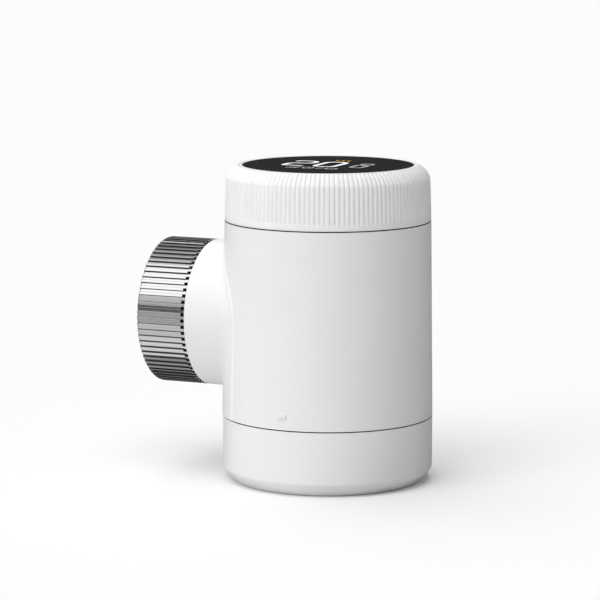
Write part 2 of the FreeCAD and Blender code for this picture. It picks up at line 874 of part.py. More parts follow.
def make_coupling_nut():
    tip = neck_radius
    floor = tip - rib_depth
    notch_end_d = nut_start_d + notch_length
    crown_share = rib_share * 0.9
    crown = Part.makeLoft([
        ribbed_outline(nut_start_d, tip - nut_bevel, tip - notch_depth, crown_share),
        ribbed_outline(notch_end_d, tip - nut_bevel / 3, tip - notch_depth, crown_share),
    ], True, True)
    barrel = Part.makeLoft([
        ribbed_outline(notch_end_d, tip, floor, rib_share),
        ribbed_outline(nut_end_d, tip, floor, rib_share),
    ], True, True)
    mouth = Part.makeCone(thread_radius, thread_radius + mouth_chamfer, mouth_chamfer,
                          vec(mouth_chamfer - nut_end_d, 0, neck_z), vec(-1, 0, 0))
    bores = [
        rod(nut_start_d, lip_end_d, adapter_radius + nut_running_gap),
        rod(lip_end_d, lip_end_d + relief_length, thread_radius + relief_depth),
        rod(lip_end_d, nut_end_d, thread_radius),
        mouth,
    ]
    return crown.fuse(barrel).cut(bores)


def make_valve_adapter():
    flange = rod(adapter_flange_d, adapter_flange_d + adapter_flange, adapter_flange_radius)
    barrel = rod(adapter_flange_d, ring_d, adapter_radius)
    nose = rod(adapter_flange_d, adapter_end_d, adapter_radius - ring_seat - panel_gap)
    return flange.fuse([barrel, nose]).cut(rod(0.0, adapter_end_d, adapter_bore))


def make_nut_retaining_ring():
    whole = tube(ring_d, ring_d + ring_thickness, adapter_radius - ring_seat, adapter_radius + ring_bite)
    gap = block(-ring_d - ring_thickness, -ring_d, -ring_bite, ring_bite, neck_z, neck_z + neck_radius)
    return whole.cut(gap)


# Valve drive


def involute(angle):
    return math.tan(angle) - angle


def gear_blank(teeth, near_d, far_d, y, z, phase_deg):
    """Spur gear: each tooth is its two involute flanks, taken at root, pitch circle and tip.

    phase_deg is the angle of one tooth's centre, seen with +Y to the right and +Z up.
    """
    pitch_radius = gear_module * teeth / 2
    base_radius = pitch_radius * math.cos(math.radians(pressure_deg))
    root_radius = pitch_radius - 1.2 * gear_module
    tip_radius = pitch_radius + gear_module
    at_pitch = math.pi / (2 * teeth) - backlash / 2 / (2 * pitch_radius)
    at_pitch += involute(math.radians(pressure_deg))

    def half_angle(radius):
        pressure = math.acos(min(1.0, base_radius / max(radius, base_radius)))
        return math.degrees(at_pitch - involute(pressure))

    flank = [root_radius, pitch_radius, tip_radius]
    points = []
    for i in range(teeth):
        middle = phase_deg + 360.0 * i / teeth
        for radius in flank:
            points.append(polar(radius, middle - half_angle(radius)))
        for radius in reversed(flank):
            points.append(polar(radius, middle + half_angle(radius)))
    outline = [vec(-far_d, y + a, neck_z + z + b) for a, b in points + points[:1]]
    return Part.Face(Part.makePolygon(outline)).extrude(vec(far_d - near_d, 0, 0))


def meshed_phase(phase_deg, teeth, other_teeth, towards_deg):
    """Phase of the second gear of a meshed pair, from the first gear's phase and where it lies."""
    fraction = ((towards_deg - phase_deg) / (360.0 / teeth)) % 1.0
    other_fraction = 0.5 - fraction
    return towards_deg + 180.0 - other_fraction * 360.0 / other_teeth


idler_y, idler_z = polar(spindle_to_idler, idler_angle)
motor_y = idler_y + polar(idler_to_motor, motor_angle)[0]
motor_z = idler_z + polar(idler_to_motor, motor_angle)[1]
idler_phase = meshed_phase(0.0, spindle_teeth, pinion_teeth, idler_angle)
motor_phase = meshed_phase(0.0, idler_teeth, pinion_teeth, motor_angle)


def make_spindle_gear():
    """Large gear whose threaded hub drives the plunger's screw."""
    wheel = gear_blank(spindle_teeth, spindle_wheel_d, spindle_wheel_d + spindle_width, 0.0, 0.0, 0.0)
    shoulder_d = cover_front_d + washer_thickness + journal_gap
    hub = rod(shoulder_d, spindle_front_d, spindle_hub_radius)
    journal = rod(cover_back_d, shoulder_d, journal_radius)
    bore = rod(cover_back_d, spindle_front_d, screw_radius + screw_gap)
    return wheel.fuse([hub, journal]).cut(bore)


def make_thrust_washer():
    return tube(cover_front_d, cover_front_d + washer_thickness, journal_radius + journal_gap,
                journal_radius + washer_width)


def make_idler_gear():
    wheel = gear_blank(idler_teeth, idler_wheel_d, idler_wheel_d + idler_width, idler_y, idler_z, 0.0)
    wheel_end_d = idler_wheel_d + idler_width
    pinion = gear_blank(pinion_teeth, wheel_end_d, spindle_front_d, idler_y, idler_z, idler_phase)
    hub = rod(cover_front_d + gear_play, idler_wheel_d, idler_hub_radius, idler_y, idler_z)
    bore = rod(cover_front_d, spindle_front_d, axle_radius + axle_gap, idler_y, idler_z)
    return wheel.fuse([pinion, hub]).cut(bore)


def make_idler_axle():
    return rod(cover_back_d, front_plate_d, axle_radius, idler_y, idler_z)


def make_motor_pinion():
    tip_d = idler_wheel_d + idler_width + gear_play
    pinion = gear_blank(pinion_teeth, idler_wheel_d - gear_play, tip_d, motor_y, motor_z, motor_phase)
    shaft = rod(cover_back_d - motor_length / 3, tip_d, shaft_radius, motor_y, motor_z)
    return pinion.fuse(shaft)


def make_motor_can():
    can = rod(motor_back_d, cover_back_d, motor_radius, motor_y, motor_z)
    axis_z = neck_z + motor_z
    can = can.common(block(-cover_back_d, -motor_back_d, motor_y - motor_radius, motor_y + motor_radius,
                           axis_z - motor_flat, axis_z + motor_flat))
    boss = rod(cover_back_d, cover_back_d + motor_boss, motor_boss_radius, motor_y, motor_z)
    bore = rod(cover_back_d - motor_length / 3 - gear_play, cover_back_d + motor_boss,
               shaft_radius + axle_gap, motor_y, motor_z)
    return can.fuse(boss).cut(bore)


def make_plunger():
    """Screw that the gear's hub drives out, with a keyed head that can't turn in its guide."""
    screw = rod(head_d - screw_tail, head_d, screw_radius)
    head = rod(head_d, head_d + head_length, head_radius)
    reach = head_radius + key_height
    half = key_width / 2
    keys = block(-head_d - head_length, -head_d, -reach, reach, neck_z - half, neck_z + half)
    keys = keys.common(rod(head_d, head_d + head_length, reach))
    return screw.fuse([head, keys])


def make_gearbox_frame():
    """Front plate with the plunger's guide, rear pillars and the feet that back the adapter."""
    plate = rod(plate_back_d, front_plate_d, neck_bore - panel_gap)
    guide = rod(front_plate_d, guide_end_d, guide_radius)
    added = [guide]
    removed = [
        rod(plate_back_d, front_plate_d, screw_radius + head_gap),
        rod(front_plate_d, guide_end_d, guide_bore),
        rod(plate_back_d, front_plate_d, axle_radius + axle_gap / 2, idler_y, idler_z),
    ]
    reach = head_radius + key_height + head_gap
    half = key_width / 2 + head_gap / 2
    slot = block(-guide_end_d, -front_plate_d, -reach, reach, neck_z - half, neck_z + half)
    removed.append(slot)
    for angle in pillar_angles:
        y, z = polar(pillar_reach, angle)
        added.append(rod(cover_front_d, plate_back_d, pillar_radius, y, z))
        removed.append(rod(cover_front_d, front_plate_d, bolt_hole, y, z))
    for angle in foot_angles:
        y, z = polar(pillar_reach, angle)
        added.append(rod(front_plate_d, adapter_flange_d, pillar_radius, y, z))
    return plate.fuse(added).cut(removed)


def make_gearbox_cover():
    plate = rod(cover_back_d, cover_front_d, cover_radius)
    removed = [
        rod(cover_back_d, cover_front_d, journal_radius + journal_gap),
        rod(cover_back_d, cover_front_d, axle_radius + axle_gap / 2, idler_y, idler_z),
        rod(cover_back_d, cover_front_d, motor_boss_radius + axle_gap, motor_y, motor_z),
    ]
    for angle in pillar_angles:
        y, z = polar(pillar_reach, angle)
        removed.append(rod(cover_back_d, cover_front_d, bolt_hole, y, z))
    return plate.cut(removed)


# Fasteners


def make_deck_screws():
    points = [polar(tower_reach, a) for a in tower_angles]
    return Part.makeCompound([bolt(vec(x, y, deck_top_z), vec(0, 0, -1)) for x, y in points])


def make_gearbox_screws():
    """Long screws from the front plate through the pillars and cover into the chassis posts."""
    grip = front_plate_d - cover_back_d + bolt_grip_length
    screws = []
    for angle in pillar_angles:
        y, z = polar(pillar_reach, angle)
        screws.append(bolt(vec(-front_plate_d, y, neck_z + z), vec(1, 0, 0), grip))
    return Part.makeCompound(screws)


pieces = {
    "outer_sleeve": make_outer_sleeve,
    "neck_saddle": make_neck_saddle,
    "base_cap": make_base_cap,
    "bridge_contact": make_bridge_contact,
    "battery_left": lambda: make_cell(-1, True),
    "battery_right": lambda: make_cell(1, False),
    "battery_contacts": make_battery_contacts,
    "chassis": make_chassis,
    "dial_ring": make_dial_ring,
    "encoder_ring": make_encoder_ring,
    "display_window": make_display_window,
    "window_carrier": make_window_carrier,
    "switch_button": make_switch_button,
    "tact_switch": make_tact_switch,
    "return_springs": make_return_springs,
    "top_deck": make_top_deck,
    "detent_spring": make_detent_spring,
    "main_board": make_main_board,
    "radio_module": make_radio_module,
    "pin_header": make_pin_header,
    "display_board": make_display_board,
    "display_module": make_display_module,
    "coupling_nut": make_coupling_nut,
    "valve_adapter": make_valve_adapter,
    "nut_retaining_ring": make_nut_retaining_ring,
    "spindle_gear": make_spindle_gear,
    "thrust_washer": make_thrust_washer,
    "idler_gear": make_idler_gear,
    "idler_axle": make_idler_axle,
    "motor_pinion": make_motor_pinion,
    "motor_can": make_motor_can,
    "plunger": make_plunger,
    "gearbox_frame": make_gearbox_frame,
    "gearbox_cover": make_gearbox_cover,
    "deck_screws": make_deck_screws,
    "gearbox_screws": make_gearbox_screws,
}

os.makedirs("parts", exist_ok=True)
for name, make in pieces.items():
    shape = make()
    shape.exportStep(os.path.join("parts", name + ".step"))
    print(f"{name}: {len(shape.Solids)} solid(s), {len(shape.Faces)} faces, {shape.Volume:.1f} mm3")
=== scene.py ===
"""Looks of a smart radiator thermostat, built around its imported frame.

Sizes are written in millimetres in the frame's axes: +Z is up along the drum, -X points out along the
neck to the radiator valve, and the figures of the display stand with their feet towards -Y. MM turns a
size into metres when a mesh is made.
"""

from __future__ import annotations

import logging
import math
from dataclasses import dataclass, field
from enum import Enum

import bmesh
import bpy
import numpy as np
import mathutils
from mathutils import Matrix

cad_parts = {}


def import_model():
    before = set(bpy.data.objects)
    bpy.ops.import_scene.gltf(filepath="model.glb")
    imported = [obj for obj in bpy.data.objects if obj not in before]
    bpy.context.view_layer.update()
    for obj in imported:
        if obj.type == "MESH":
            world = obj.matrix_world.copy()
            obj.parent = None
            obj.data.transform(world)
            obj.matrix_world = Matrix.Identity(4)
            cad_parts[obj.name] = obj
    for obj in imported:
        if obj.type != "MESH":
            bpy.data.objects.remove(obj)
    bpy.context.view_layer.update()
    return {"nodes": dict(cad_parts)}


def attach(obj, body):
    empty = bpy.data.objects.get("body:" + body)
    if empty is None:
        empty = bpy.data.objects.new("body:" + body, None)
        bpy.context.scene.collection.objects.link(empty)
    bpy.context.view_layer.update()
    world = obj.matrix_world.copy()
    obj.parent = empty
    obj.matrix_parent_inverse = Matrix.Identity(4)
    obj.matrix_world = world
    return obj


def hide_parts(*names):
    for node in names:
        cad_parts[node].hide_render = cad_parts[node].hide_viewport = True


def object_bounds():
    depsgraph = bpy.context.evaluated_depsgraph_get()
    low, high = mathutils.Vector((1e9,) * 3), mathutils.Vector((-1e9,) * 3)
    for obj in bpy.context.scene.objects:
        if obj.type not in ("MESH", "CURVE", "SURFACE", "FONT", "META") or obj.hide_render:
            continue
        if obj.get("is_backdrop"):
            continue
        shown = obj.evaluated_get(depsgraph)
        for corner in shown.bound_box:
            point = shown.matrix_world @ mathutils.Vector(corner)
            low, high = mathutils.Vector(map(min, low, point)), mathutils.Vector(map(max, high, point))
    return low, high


MM = 0.001
FULL_TURN = 2 * math.pi
VALVE_HEIGHT = 40.54  # The neck's axis over the foot, mm
WELD_DISTANCE = 1e-7  # Points closer than this are one, m
NO_LENGTH = 1e-8  # Edges shorter than this are taken out, m
Colour = tuple[float, float, float]
Vector = tuple[float, float, float]
Tree = bpy.types.NodeTree
Socket = bpy.types.NodeSocket
log = logging.getLogger("thermostat")


# Surfaces


def ease(low: float, high: float, value: np.ndarray) -> np.ndarray:
    """Smooth rise from 0 at low to 1 at high, 3t^2 - 2t^3.

    Args:
        low: Value at which the rise starts.
        high: Value at which it ends.
        value: Where the rise is wanted.

    Returns:
        The rise at each value, from 0 to 1.
    """
    share = np.clip((value - low) / (high - low), 0.0, 1.0)
    return share * share * (3.0 - 2.0 * share)


def rounded_line(corners: list[tuple[float, float, float]], step_deg: float = 15.0) -> np.ndarray:
    """Line through corners, each replaced by an arc tangent to both of its sides.

    The arc's tangent points lie radius * tan(turn / 2) from the corner, and its centre lies on the
    corner's bisector at radius / cos(turn / 2).

    Args:
        corners: (a, b, radius) of each corner. The two ends keep their corner.
        step_deg: Largest turn from one point of an arc to the next.

    Returns:
        Points (n, 2) along the line.
    """
    spots = np.array([c[:2] for c in corners], float)
    line = [spots[:1]]
    for before, spot, after, (_, _, radius) in zip(spots, spots[1:], spots[2:], corners[1:-1]):
        arrive = (spot - before) / np.linalg.norm(spot - before)
        leave = (after - spot) / np.linalg.norm(after - spot)
        cross = arrive[0] * leave[1] - arrive[1] * leave[0]
        turn = math.atan2(cross, float(arrive @ leave))
        if radius <= 0 or abs(turn) < 1e-6:
            line.append(spot[None])
            continue
        side = np.array([-arrive[1], arrive[0]]) * math.copysign(1.0, turn)
        start = spot - arrive * radius * math.tan(abs(turn) / 2)
        centre = start + side * radius
        count = max(2, math.ceil(abs(math.degrees(turn)) / step_deg) + 1)
        first = math.atan2(start[1] - centre[1], start[0] - centre[0])
        angle = first + np.linspace(0.0, turn, count)
        line.append(centre + radius * np.stack([np.cos(angle), np.sin(angle)], -1))
    line.append(spots[-1:])
    return np.concatenate(line)


def arc_line(start: tuple[float, float], end: tuple[float, float], bulge: float, count: int) -> np.ndarray:
    """Arc from start to end that stands out to the right of its chord by bulge.

    Its radius is chord^2 / (8 bulge) + bulge / 2.

    Args:
        start: First point (a, b).
        end: Last point (a, b).
        bulge: Height of the arc over its chord.
        count: Number of points.

    Returns:
        Points (count, 2) along the arc.
    """
    first, last = np.array(start, float), np.array(end, float)
    chord = float(np.linalg.norm(last - first))
    along = (last - first) / chord
    right = np.array([along[1], -along[0]])
    radius = chord * chord / (8 * bulge) + bulge / 2
    centre = (first + last) / 2 - right * (radius - bulge)
    half = math.asin(chord / 2 / radius)
    angle = np.linspace(-half, half, count)[:, None]
    return centre + radius * (np.cos(angle) * right + np.sin(angle) * along)


@dataclass(frozen=True)
class Patch:
    """Grid of points on one surface, joined by four-sided faces.

    Args:
        points: Array (rows, columns, 3) in millimetres.
        closed_rows: Whether the last row meets the first.
        closed_columns: Whether the last column meets the first.
    """

    points: np.ndarray
    closed_rows: bool = False
    closed_columns: bool = True

    def faces(self, first: int) -> np.ndarray:
        """Joins each point with its neighbours in the next row and column.

        Args:
            first: Number of the patch's first point in the mesh.

        Returns:
            Corner numbers (n, 4) of the faces.
        """
        rows, columns = self.points.shape[:2]
        row = np.arange(rows if self.closed_rows else rows - 1)
        column = np.arange(columns if self.closed_columns else columns - 1)
        row, column = np.meshgrid(row, column, indexing="ij")
        next_row, next_column = (row + 1) % rows, (column + 1) % columns
        corners = [row * columns + column, row * columns + next_column,
                   next_row * columns + next_column, next_row * columns + column]
        return np.stack(corners, -1).reshape(-1, 4) + first


def bar_patches(sections: np.ndarray) -> list[Patch]:
    """Bar through four-cornered sections, closed at both ends.

    Args:
        sections: Corners (n, 4, 3) of the sections, in order along the bar.

    Returns:
        Its sides and its two ends.
    """
    ends = [np.stack([sections[i, :2], sections[i, 3:1:-1]]) for i in (0, -1)]
    return [Patch(sections)] + [Patch(end, closed_columns=False) for end in ends]


def turned_rows(line: list[tuple[float, float]] | np.ndarray, columns: int) -> tuple[np.ndarray, np.ndarray]:
    """Same radius and distance in every column, for each point of a line.

    Args:
        line: Points (radius, along).
        columns: Number of columns.

    Returns:
        Radius and distance along the axis, each (points, columns).
    """
    grid = np.broadcast_to(np.array(line)[:, None], (len(line), columns, 2))
    return grid[..., 0], grid[..., 1]


def add_object(name: str, data: bpy.types.ID) -> bpy.types.Object:
    """Puts a mesh, a light or a camera into the scene.

    Args:
        name: Name of its object.
        data: The mesh, light or camera.

    Returns:
        The object, at the origin.
    """
    made = bpy.data.objects.new(name, data)
    bpy.context.scene.collection.objects.link(made)
    return made


def shell_object(name: str, patches: list[Patch], finish: Finish,
                 crease_deg: float = 32.0) -> bpy.types.Object:
    """Joins patches into one welded mesh whose faces point outwards.

    Args:
        name: Name of the piece.
        patches: Surfaces that meet edge to edge, or closed shells of their own.
        finish: Finish of the whole piece.
        crease_deg: Edges that turn by more than this stay crisp in the shading.

    Returns:
        The object, at the origin, with its place in its mesh.
    """
    points, faces, first = [], [], 0
    for patch in patches:
        points.append(patch.points.reshape(-1, 3) * MM)
        faces.append(patch.faces(first))
        first += len(points[-1])
    corners = np.concatenate(faces)
    mesh = bpy.data.meshes.new(name)
    mesh.vertices.add(first)
    mesh.vertices.foreach_set("co", np.concatenate(points).astype(np.float32).ravel())
    mesh.loops.add(corners.size)
    mesh.loops.foreach_set("vertex_index", corners.astype(np.int32).ravel())
    mesh.polygons.add(len(corners))
    mesh.polygons.foreach_set("loop_start", np.arange(0, corners.size, 4, dtype=np.int32))
    mesh.update(calc_edges=True)
    weld = bmesh.new()
    weld.from_mesh(mesh)
    bmesh.ops.remove_doubles(weld, verts=weld.verts, dist=WELD_DISTANCE)
    bmesh.ops.dissolve_degenerate(weld, edges=weld.edges, dist=NO_LENGTH)
    bmesh.ops.recalc_face_normals(weld, faces=weld.faces)
    weld.to_mesh(mesh)
    weld.free()
    mesh.polygons.foreach_set("use_smooth", np.ones(len(mesh.polygons), bool))
    mesh.set_sharp_from_angle(angle=math.radians(crease_deg))
    mesh.materials.append(finish.material())
    mesh.update()
    return add_object(name, mesh)


def face_values(mesh: bpy.types.Mesh, name: str) -> np.ndarray:
    """One vector per face of a mesh.

    Args:
        mesh: The mesh.
        name: Its faces' attribute, "center" or "normal".

    Returns:
        The values, (faces, 3).
    """
    values = np.empty(3 * len(mesh.polygons))
    mesh.polygons.foreach_get(name, values)
    return values.reshape(-1, 3)


def paint_faces(piece: bpy.types.Object, finish: Finish, chosen: np.ndarray) -> None:
    """Gives the chosen faces of a piece a second finish.

    Args:
        piece: The piece, which has one material.
        finish: The finish of the chosen faces.
        chosen: True for each face that takes it.
    """
    piece.data.materials.append(finish.material())
    piece.data.polygons.foreach_set("material_index", chosen.astype(np.int32))


def soften_edges(piece: bpy.types.Object, width: float, from_deg: float = 38.0) -> None:
    """Breaks a piece's crisp edges with a bevel two faces wide.

    Args:
        piece: The object.
        width: Width of the broken edge in millimetres.
        from_deg: Edges that turn by more than this are broken.
    """
    bevel = piece.modifiers.new("broken_edges", "BEVEL")
    bevel.width = width * MM
    bevel.segments = 2
    bevel.limit_method = "ANGLE"
    bevel.angle_limit = math.radians(from_deg)
    bevel.harden_normals = True


class Axis(Enum):
    """The two lines that turned pieces are turned about."""

    DRUM = "drum"
    VALVE = "valve"


def place(axis: Axis, radius: np.ndarray, along: np.ndarray, angle: np.ndarray) -> np.ndarray:
    """Points at a radius, a distance along an axis and an angle about it.

    About the drum they are (r cos a, r sin a, z). About the valve's axis they are
    (-d, r cos a, axis height + r sin a).

    Args:
        axis: Which axis.
        radius: Distance from it.
        along: Height above the foot, or distance from the drum's axis towards -X.
        angle: Angle in radians.

    Returns:
        Array of points with the shape that the three arguments give together, and 3 coordinates.
    """
    across, up = radius * np.cos(angle), radius * np.sin(angle)
    along = np.broadcast_to(along, across.shape)
    if axis is Axis.DRUM:
        return np.stack([across, up, along], -1)
    return np.stack([-along, across, VALVE_HEIGHT + up], -1)


def turned_patch(line: np.ndarray, columns: int = 240, closed: bool = False) -> Patch:
    """Surface of revolution: every point (radius, along) of a line carried once round the drum's axis.

    Args:
        line: Points (n, 2).
        columns: Points round the axis.
        closed: Whether the line closes on itself.

    Returns:
        The patch.
    """
    angle = np.arange(columns) * FULL_TURN / columns
    return Patch(place(Axis.DRUM, line[:, :1], line[:, 1:], angle), closed_rows=closed)


# Finishes


@dataclass(frozen=True)
class Finish:
    """Surface finish, with the fine variation that the real surface shows.

    Args:
        name: Name of the material.
        colour: Base colour, linear.
        roughness: Middle roughness.
        metallic: 1 for bare metal.
        specular: Strength of the plain gloss.
        mottle: Share by which the colour wanders over the surface.
        mottle_size: Size of that wandering, mm.
        grain: Height of the surface's grain, mm.
        grain_size: Size of the grain, mm.
        wander: How much the roughness wanders.
    """

    name: str
    colour: Colour
    roughness: float
    metallic: float = 0.0
    specular: float = 0.5
    mottle: float = 0.01
    mottle_size: float = 9.0
    grain: float = 0.002
    grain_size: float = 0.3
    wander: float = 0.04

    def noise(self, tree: Tree, spot: Socket, size: float) -> Socket:
        """Noise of one size, with three octaves of finer noise on top.

        Args:
            tree: The material's nodes.
            spot: Where it is read.
            size: Size of its lumps, mm.

        Returns:
            The noise's value, from 0 to 1.
        """
        noise = tree.nodes.new("ShaderNodeTexNoise")
        noise.inputs["Scale"].default_value = 1.0 / (size * MM)
        noise.inputs["Detail"].default_value = 3.0
        tree.links.new(spot, noise.inputs["Vector"])
        return noise.outputs["Fac"]

    def spread(self, tree: Tree, value: Socket, low: float, high: float) -> Socket:
        """Carries the middle of a noise, from 0.3 to 0.7, onto a range.

        Args:
            tree: The material's nodes.
            value: The noise's value.
            low: Where the range starts.
            high: Where it ends.

        Returns:
            The value on the range.
        """
        ranged = tree.nodes.new("ShaderNodeMapRange")
        for name, limit in (("From Min", 0.3), ("From Max", 0.7), ("To Min", low), ("To Max", high)):
            ranged.inputs[name].default_value = limit
        tree.links.new(value, ranged.inputs["Value"])
        return ranged.outputs["Result"]

    def blend(self, tree: Tree, share: Socket, first: Colour, second: Colour) -> Socket:
        """Colour between two colours.

        Args:
            tree: The material's nodes.
            share: Share of the second, from 0 to 1.
            first: The first colour.
            second: The second colour.

        Returns:
            The mixed colour.
        """
        mix = tree.nodes.new("ShaderNodeMix")
        mix.data_type = "RGBA"
        mix.inputs["A"].default_value = (*first, 1.0)
        mix.inputs["B"].default_value = (*second, 1.0)
        tree.links.new(share, mix.inputs["Factor"])
        return mix.outputs["Result"]

    def paint(self, tree: Tree, spot: Socket) -> Socket:
        """Colour over the surface: the base colour, a little darker and lighter by turns.

        Args:
            tree: The material's nodes.
            spot: Where it is read.

        Returns:
            The colour.
        """
        share = self.spread(tree, self.noise(tree, spot, self.mottle_size), 0.0, 1.0)
        darker = tuple(c * (1 - self.mottle) for c in self.colour)
        lighter = tuple(min(1.0, c * (1 + self.mottle)) for c in self.colour)
        return self.blend(tree, share, darker, lighter)

    def relief(self, tree: Tree, spot: Socket) -> Socket:
        """Height of the grain over the surface, from 0 to 1."""
        return self.noise(tree, spot, self.grain_size)

    def extras(self, shader: bpy.types.Node) -> None:
        """Sets what only some finishes have on the shader."""

    def material(self) -> bpy.types.Material:
        """Makes the material, or gives back the one that has been made.

        Returns:
            The material.
        """
        found = bpy.data.materials.get(self.name)
        if found:
            return found
        made = bpy.data.materials.new(self.name)
        made.use_nodes = True
        tree = made.node_tree
        shader = tree.nodes["Principled BSDF"]
        shader.inputs["Metallic"].default_value = self.metallic
        shader.inputs["Specular IOR Level"].default_value = self.specular
        made.diffuse_color = (*self.colour, 1.0)
        spot = tree.nodes.new("ShaderNodeTexCoord").outputs["Object"]
        tree.links.new(self.paint(tree, spot), shader.inputs["Base Color"])
        grain = self.relief(tree, spot)
        rough = self.spread(tree, grain, self.roughness - self.wander, self.roughness + self.wander)
        tree.links.new(rough, shader.inputs["Roughness"])
        bump = tree.nodes.new("ShaderNodeBump")
        bump.inputs["Distance"].default_value = self.grain * MM
        tree.links.new(grain, bump.inputs["Height"])
        tree.links.new(bump.outputs["Normal"], shader.inputs["Normal"])
        self.extras(shader)
        return made


@dataclass(frozen=True)
class GlassFinish(Finish):
    """Black display pane: matt black under a faint clear coat.

    Args:
        coat: Strength of the clear coat.
        coat_roughness: Its roughness.
    """

    coat: float = 0.04
    coat_roughness: float = 0.06

    def extras(self, shader: bpy.types.Node) -> None:
        """Adds the clear coat."""
        shader.inputs["Coat Weight"].default_value = self.coat
        shader.inputs["Coat Roughness"].default_value = self.coat_roughness


@dataclass(frozen=True)
class LitFinish(Finish):
    """Lit figure of the display: it glows in its own colour.

    Args:
        glow: Strength of the glow.
    """

    glow: float = 0.6

    def extras(self, shader: bpy.types.Node) -> None:
        """Adds the glow."""
        shader.inputs["Emission Color"].default_value = (*self.colour, 1.0)
        shader.inputs["Emission Strength"].default_value = self.glow


@dataclass(frozen=True)
class DrawnFinish(Finish):
    """Drawn or turned metal, whose grain runs long in one direction.

    Args:
        stretch: How many times finer the grain is along each of the frame's axes.
    """

    stretch: Vector = (1.0, 1.0, 8.0)

    def relief(self, tree: Tree, spot: Socket) -> Socket:
        """Noise read at a stretched point.

        Args:
            tree: The material's nodes.
            spot: The point before it is stretched.

        Returns:
            Height of the grain, from 0 to 1.
        """
        mapping = tree.nodes.new("ShaderNodeMapping")
        mapping.inputs["Scale"].default_value = self.stretch
        tree.links.new(spot, mapping.inputs["Vector"])
        return self.noise(tree, mapping.outputs["Vector"], self.grain_size)


@dataclass(frozen=True)
class WrapFinish(Finish):
    """Printed sleeve of a cell: a plain band of another colour above a height.

    Args:
        band: Colour of the upper band.
        band_height: Height above the foot at which it starts, mm.
    """

    band: Colour = (0.55, 0.3, 0.08)
    band_height: float = 42.0

    def paint(self, tree: Tree, spot: Socket) -> Socket:
        """Colour by the height of the point.

        Args:
            tree: The material's nodes.
            spot: Where it is read.

        Returns:
            The wrap's colour, and the band's above its height.
        """
        parts = tree.nodes.new("ShaderNodeSeparateXYZ")
        tree.links.new(spot, parts.inputs["Vector"])
        above = tree.nodes.new("ShaderNodeMath")
        above.operation = "GREATER_THAN"
        above.inputs[1].default_value = self.band_height * MM
        tree.links.new(parts.outputs["Z"], above.inputs[0])
        return self.blend(tree, above.outputs["Value"], self.colour, self.band)


@dataclass(frozen=True)
class BoardFinish(Finish):
    """Circuit board: copper lines that show faintly through the lacquer.

    Args:
        copper: Colour of the lines.
        line_pitch: Distance from line to line, mm.
        line_length: Length of a line, in pitches.
        line_width: Width of a line, in pitches.
        shade: Share of the colour left in the darker fields.
    """

    copper: Colour = (0.08, 0.26, 0.11)
    line_pitch: float = 1.3
    line_length: float = 6.0
    line_width: float = 0.06
    shade: float = 0.85

    def paint(self, tree: Tree, spot: Socket) -> Socket:
        """Rows of staggered fields with lines between them.

        Args:
            tree: The material's nodes.
            spot: Where it is read.

        Returns:
            The colour.
        """
        lines = tree.nodes.new("ShaderNodeTexBrick")
        lines.inputs["Color1"].default_value = (*self.colour, 1.0)
        lines.inputs["Color2"].default_value = (*(c * self.shade for c in self.colour), 1.0)
        lines.inputs["Mortar"].default_value = (*self.copper, 1.0)
        lines.inputs["Scale"].default_value = 1.0 / (self.line_pitch * MM)
        lines.inputs["Mortar Size"].default_value = self.line_width
        lines.inputs["Brick Width"].default_value = self.line_length
        lines.inputs["Row Height"].default_value = 1.0
        tree.links.new(spot, lines.inputs["Vector"])
        return lines.outputs["Color"]


# Painted highlight: whiter than the shell, so the panel's sloping edge shows as a bright hairline.
PANEL_EDGE_HIGHLIGHT = Finish("panel_edge_painted_highlight", (0.9, 0.9, 0.905), 0.4, specular=0.3)
WHITE_SHELL = Finish("white_shell_moulding", (0.83, 0.83, 0.835), 0.45, specular=0.2, mottle=0.006,
                     grain=0.0015, grain_size=0.22)
# Painted light: a little whiter than the shell, for the brighter light on the dial's wall and shoulder.
DIAL_WHITE_LIT = Finish("dial_white_painted_light", (0.862, 0.862, 0.867), 0.45, specular=0.2, mottle=0.006,
                    grain=0.0015, grain_size=0.22)
PANE_BLACK = GlassFinish("display_pane_black", (0.026, 0.026, 0.026), 0.5, specular=0.0, mottle=0.05,
                         grain=0.0002)
LIT_WHITE = LitFinish("lit_white", (0.7, 0.71, 0.72), 0.5, specular=0.1, glow=0.65)
LIT_DIM = LitFinish("lit_dim_white", (0.38, 0.39, 0.4), 0.5, specular=0.1, glow=0.25)
LIT_ORANGE = LitFinish("lit_orange", (0.42, 0.23, 0.02), 0.5, specular=0.1, glow=0.3)
NUT_NICKEL = DrawnFinish("nut_nickel_plate", (0.88, 0.88, 0.88), 0.11, metallic=1.0, mottle=0.02,
                         grain=0.0004, grain_size=0.5, stretch=(0.3, 3.0, 3.0))
# Painted shade: dark nickel on the ribs' flanks and mouth bevels, standing for the shade and dark
# reflections seen there.
FLANK_PAINTED_SHADE = Finish("nut_flank_painted_shade", (0.13, 0.13, 0.13), 0.35, metallic=1.0, mottle=0.03, grain=0.0006)
ADAPTER_CAST = Finish("adapter_die_casting", (0.5, 0.49, 0.47), 0.45, metallic=1.0, mottle=0.05,
                      grain=0.006, grain_size=0.25)
DARK_MOULDING = Finish("dark_moulding", (0.03, 0.03, 0.032), 0.55, mottle=0.08, grain=0.003)
